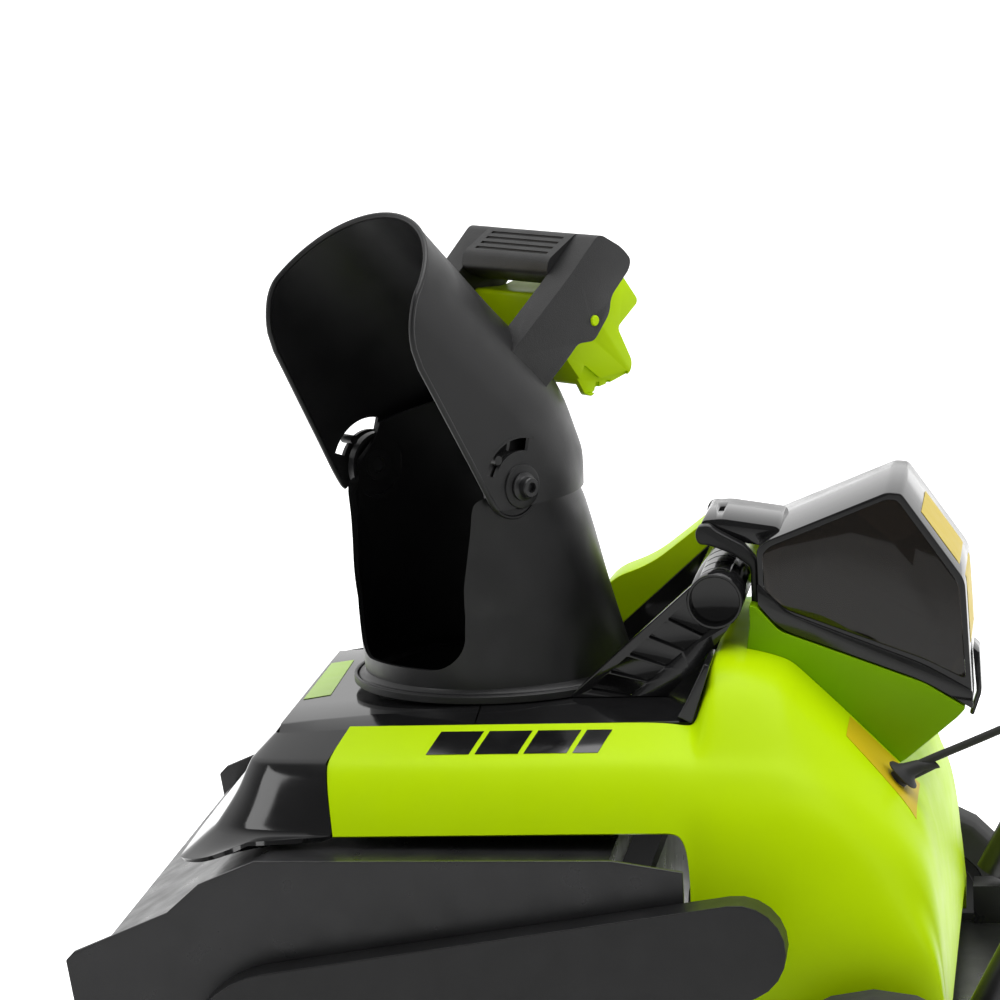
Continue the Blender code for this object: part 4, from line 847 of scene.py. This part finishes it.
def lid_outline(i=0.0, drop=0.0):
    """The lid from the side, brought in by i, with its lower edge let down by drop."""
    return [(0.1890 + i, 0.4370 - i * 0.3), (0.1960 + i * 0.6, 0.4425 - i), (0.2790, 0.4745 - i * 1.1),
            (0.2885 - i * 0.6, 0.4735 - i), (0.3300 - i, 0.4127 - i * 0.2), (0.3330 - i, 0.3240 - drop),
            (0.3010, 0.3438 - drop), (0.2034, 0.3817 - drop), (0.1890 + i, 0.3990 - drop)]


def window_outline(i):
    """The lid's side window, brought in by i."""
    return rounded([(0.2065 + i, 0.3950 + i), (0.1930 + i, 0.4090), (0.1930 + i, 0.4335),
                    (0.1978, 0.4385 - i), (0.2785, 0.4698 - i), (0.2858 - i * 0.6, 0.4690 - i),
                    (0.3258 - i, 0.4105), (0.3290 - i, 0.3440 + i), (0.3015, 0.3585 + i)],
                   [0.005, 0.005, 0.003, 0.003, 0.003, 0.003, 0.006, 0.004, 0.008], 4)


def make_lid():
    lid = prism("lid_shell", rounded(lid_outline(), [0.004, 0.003, 0.003, 0.003, 0.006, 0.003, 0.010, 0.010,
                                                     0.002], 4), in_x, -0.0660, 0.0660)
    bevel(lid, 0.0022, 4, 50)
    cut(lid, [prism("inside", lid_outline(0.0030, 0.0100), in_x, -0.0630, 0.0630),
              prism("opening", window_outline(0), in_x, -0.1, 0.1)])
    show(lid, "lid", "gloss_black", "battery_lid", 40)
    rim = rounded([(0.1888, 0.3990), (0.2034, 0.3815), (0.3010, 0.3436), (0.3332, 0.3236),
                   (0.3335, 0.3360), (0.3020, 0.3545), (0.2080, 0.3925), (0.1888, 0.4130)],
                  [0.001, 0.010, 0.012, 0.002, 0.002, 0.012, 0.010, 0.002], 5)
    for k, name in SIDES:
        band = prism("lid_rim_" + name, rim, in_x, *on_side(k, 0.0645, 0.0682))
        bevel(band, 0.0010, 3, 50)
        show(band, "lid", "gloss_black")
        pane = prism("window_pane_" + name, window_outline(0.0003), in_x, *on_side(k, 0.0634, 0.0663))
        bevel(pane, 0.0004, 2, 50)
        show(pane, "lid", "smoked_clear", "lid_window_" + name)
    plate = prism("lid_hinge_plate", rounded(
        [(0.1480, 0.4425), (0.1560, 0.4405), (0.1950, 0.4340), (0.2060, 0.4400), (0.2030, 0.4475),
         (0.1640, 0.4540), (0.1500, 0.4530)], [0.003, 0.002, 0.001, 0.001, 0.004, 0.004, 0.003], 4),
        in_x, -0.0408, 0.0408)
    cut(plate, [prism("slot", [(0.1590, 0.4480), (0.1625, 0.4480), (0.1625, 0.4600), (0.1590, 0.4600)],
                      in_x, -0.0090, 0.0090)])
    bevel(plate, 0.0008, 2, 40)
    show(plate, "lid", "gloss_black")
    label = lay_on("lid_label", lid, patch(at(-0.040, 0.36, 0.3640), at(0.040, 0.36, 0.3640),
                                           at(0.040, 0.36, 0.4560), at(-0.040, 0.36, 0.4560), 4, 8),
                   (0, -1, 0))
    show(label, "lid", "label_yellow")
    clip = [(0.3326, 0.3560), (0.3370, 0.3520), (0.3378, 0.3240), (0.3320, 0.3080), (0.3290, 0.3092),
            (0.3344, 0.3240)]
    latch = prism("latch_clip", rounded(clip, 0.0015, 3), in_x, -0.0180, 0.0180)
    bevel(latch, 0.0008, 2, 40)
    show(latch, "lid", "gloss_black", "lid_latch")


RING_Y, RING_Z = 0.1610, 0.4050                      # middle line of the carrying grip


def carry_bays(k):
    """Five pockets up the outer face of a carrying plate."""
    bays = []
    for i in range(5):
        ends = (0.190 * i, 0.190 * i + 0.172)
        top = [Vector((0.0720, 0.3450)).lerp(Vector((0.1440, 0.4090)), t) for t in ends]
        low = [Vector((0.1030, 0.3390)).lerp(Vector((0.1690, 0.3930)), t) for t in ends]
        bay = [top[0].lerp(low[0], 0.05), top[0].lerp(low[0], 0.95), top[1].lerp(low[1], 0.95),
               top[1].lerp(low[1], 0.05)]
        bays.append(prism("bay", rounded(bay, 0.0018, 3), in_x, *on_side(k, 0.0765, 0.0900)))
    return bays


def make_carry_handle():
    outline = rounded([(0.0600, 0.3396), (0.0620, 0.3430), (0.1445, 0.4150), (0.1560, 0.4230),
                       (0.1790, 0.4000), (0.1655, 0.3800), (0.1430, 0.3560), (0.1260, 0.3396)],
                      [0, 0.001, 0.004, 0.006, 0.010, 0.010, 0.004, 0], 5)
    for k, name in SIDES:
        plate = prism("carry_plate_" + name, outline, in_x, *on_side(k, 0.0740, 0.0840))
        seat = rod("seat", at(0, RING_Y, RING_Z), (1, 0, 0), 0.0186, -0.1, 0.1, 64)
        cut(plate, carry_bays(k) + [seat])
        bevel(plate, 0.0006, 2, 50)
        show(plate, "machine", "gloss_black", None, 40)
    profile = [(0.0168, -0.0700), (0.0168, -0.0855), (0.0173, -0.0862), (0.0186, -0.0862),
               (0.0190, -0.0855), (0.0190, 0.0855), (0.0186, 0.0862), (0.0173, 0.0862),
               (0.0168, 0.0855), (0.0168, 0.0700), (0, 0.0660), (0, -0.0660)]
    grip = turned("carry_grip", profile, at(0, RING_Y, RING_Z), (1, 0, 0), 96)
    cuts = []
    for i in range(5):
        x = 0.060 - 0.022 * i
        path = [at(x + 0.010 * (k / 8) ** 2, RING_Y + y, RING_Z + z)
                for k, (y, z) in enumerate(arc(0, 0, 0.0193, 60, 120, 8))]
        cuts.append(pipe("groove", path, 0.0014, 10))
    window = rounded([(0.045, 0.0040), (-0.045, 0.0040), (-0.045, -0.0080), (0.045, -0.0080)], 0.002)
    cuts.append(prism("window", window, lambda a, b, c: at(a, RING_Y + c, RING_Z + b), 0.0170, 0.0300))
    cut(grip, cuts)
    show(grip, "machine", "gloss_black", "carry_handle", 40)


# ---------------------------------------------------------------- cable
CABLE_ROUTE = [(0.1170, 0.2865, 0.2901), (0.1170, 0.2908, 0.2942), (0.1180, 0.3050, 0.3010),
               (0.1240, 0.3500, 0.3210), (0.1360, 0.4050, 0.3480), (0.1580, 0.4750, 0.3900),
               (0.1740, 0.5060, 0.4190), (0.1900, 0.5148, 0.4368), (0.1900, 0.5477, 0.4985),
               (0.1900, 0.5982, 0.5813), (0.1900, 0.6584, 0.6612), (0.1900, 0.7305, 0.7571),
               (0.1650, 0.8180, 0.8550), (0.1200, 0.8700, 0.8980), (0.0970, 0.8820, 0.9290),
               (0.0970, 0.8820, 0.9450), (0.0970, 0.8820, 0.9690)]
CABLE_EXIT = at(0.1170, 0.2836, 0.2873)              # where it leaves the rear cover
CABLE_OUT = Vector((0, 0.721, 0.693)).normalized()   # square to the cover there


def make_cable():
    """One cord from the rear cover up to the switch box; it bends where the handle folds."""
    path = smooth_path([at(*p) for p in CABLE_ROUTE], 5)
    cable = pipe("switch_cable", path, 0.0028, 16)
    cable.data.materials.append(LOOKS["rubber"])
    smooth(cable, 60)
    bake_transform(cable)
    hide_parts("cable")
    profile = [(0.0031, -0.0060), (0.0066, -0.0060), (0.0066, 0.0030), (0.0118, 0.0034), (0.0124, 0.0042),
               (0.0118, 0.0054), (0.0080, 0.0072), (0.0062, 0.0100), (0.0050, 0.0180), (0.0038, 0.0260),
               (0.0031, 0.0262)]
    grommet = turned("cable_relief", profile, CABLE_EXIT, CABLE_OUT, 40)
    # its sleeve bends over with the cable
    for v in grommet.data.vertices:
        reach = max(0.0, (v.co - CABLE_EXIT).dot(CABLE_OUT) - 0.0050)
        v.co += Vector((0.02, 0.32, -0.36)) * reach * min(1.0, reach / 0.02)
    show(grommet, "machine", "rubber", "cable_grommet", 50)


# ---------------------------------------------------------------- CAD parts that stay
def dress_cad():
    """Finished materials, soft edges and smooth shading for every CAD part left showing."""
    slots = {part["node"]: part["material_slot"] for part in frame["record"]["subparts"]}
    for name, obj in frame["nodes"].items():
        obj.data.materials.clear()
        obj.data.materials.append(LOOKS[slots[name]])
        if obj.hide_render:
            continue
        obj.data.shade_smooth()
        weld = obj.modifiers.new("weld", "WELD")
        weld.merge_threshold = 0.00002
        edge = obj.modifiers.new("edges", "BEVEL")
        edge.width = 0.0008
        edge.segments = 2
        edge.limit_method = "ANGLE"
        edge.angle_limit = math.radians(38)
        shade = obj.modifiers.new("shade", "WEIGHTED_NORMAL")
        shade.keep_sharp = False


# ---------------------------------------------------------------- studio
def fade(tree, output, start, end, dim):
    """Brightness that falls from 1 to dim along x: white behind the object, darker by the camera."""
    place = tree.nodes.new("ShaderNodeTexCoord")
    split = tree.nodes.new("ShaderNodeSeparateXYZ")
    tree.links.new(place.outputs[output], split.inputs["Vector"])
    span = tree.nodes.new("ShaderNodeMapRange")
    span.interpolation_type = "SMOOTHSTEP"
    for key, value in (("From Min", start), ("From Max", end), ("To Min", 1.0), ("To Max", dim)):
        span.inputs[key].default_value = value
    tree.links.new(split.outputs["X"], span.inputs["Value"])
    return span.outputs["Result"]


def make_floor():
    bm = bmesh.new()
    bmesh.ops.create_grid(bm, x_segments=2, y_segments=2, size=60)
    floor = add("studio_floor", bm)
    mat, tree, shader = new_material("studio_white")
    shader.inputs["Base Color"].default_value = (0.75, 0.75, 0.75, 1)
    shader.inputs["Roughness"].default_value = 0.9
    shader.inputs["Emission Color"].default_value = (1, 1, 1, 1)
    tree.links.new(fade(tree, "Object", -0.3, 0.6, 0.10), shader.inputs["Emission Strength"])
    floor.data.materials.append(mat)


def make_world():
    world = bpy.data.worlds.new("studio")
    bpy.context.scene.world = world
    world.use_nodes = True
    background = world.node_tree.nodes["Background"]
    background.inputs["Color"].default_value = (1, 1, 1, 1)
    world.node_tree.links.new(fade(world.node_tree, "Generated", -0.3, 0.5, 0.16),
                              background.inputs["Strength"])
    bpy.context.scene.view_settings.view_transform = "Standard"


def make_lights():
    lights = (("overhead", (0.2, 0.1, 2.4), (0, 0, 0.4), (1.6, 2.2), 34),
              ("front_strip", (1.5, -2.4, 1.5), (0, -0.3, 0.45), (0.7, 1.6), 14),
              ("rear_strip", (1.6, 2.3, 1.6), (0, 0, 0.45), (0.7, 1.6), 9))
    for name, place, target, size, power in lights:
        data = bpy.data.lights.new(name, "AREA")
        data.shape = "RECTANGLE"
        data.size, data.size_y = size
        data.energy = power
        light = bpy.data.objects.new(name, data)
        bpy.context.scene.collection.objects.link(light)
        light.location = place
        light.rotation_euler = (Vector(target) - Vector(place)).to_track_quat("-Z", "Y").to_euler()


def make_camera():
    """A long lens from the machine's left, as in the photo."""
    data = bpy.data.cameras.new("camera")
    data.sensor_width = 36
    data.lens = 154.1
    data.clip_end = 60
    camera = bpy.data.objects.new("camera", data)
    bpy.context.scene.collection.objects.link(camera)
    azimuth, elevation, roll = math.radians(98.14), math.radians(9.912), math.radians(-2.6266)
    ahead = Vector((-math.sin(azimuth) * math.cos(elevation), math.cos(azimuth) * math.cos(elevation),
                    -math.sin(elevation)))
    level = ahead.to_track_quat("-Z", "Y").to_matrix()
    camera.matrix_world = (Matrix.Translation(at(2.92906, 0.42386, 0.98022))
                           @ (level @ Matrix.Rotation(roll, 3, "Z")).to_4x4())
    bpy.context.scene.camera = camera


make_camera()
make_floor()
make_world()
make_lights()
make_chute()
make_deflector()
make_deflector_handle()
make_decks()
make_front_hood()
make_covers()
make_tower()
make_lid()
make_carry_handle()
make_cable()
dress_cad()
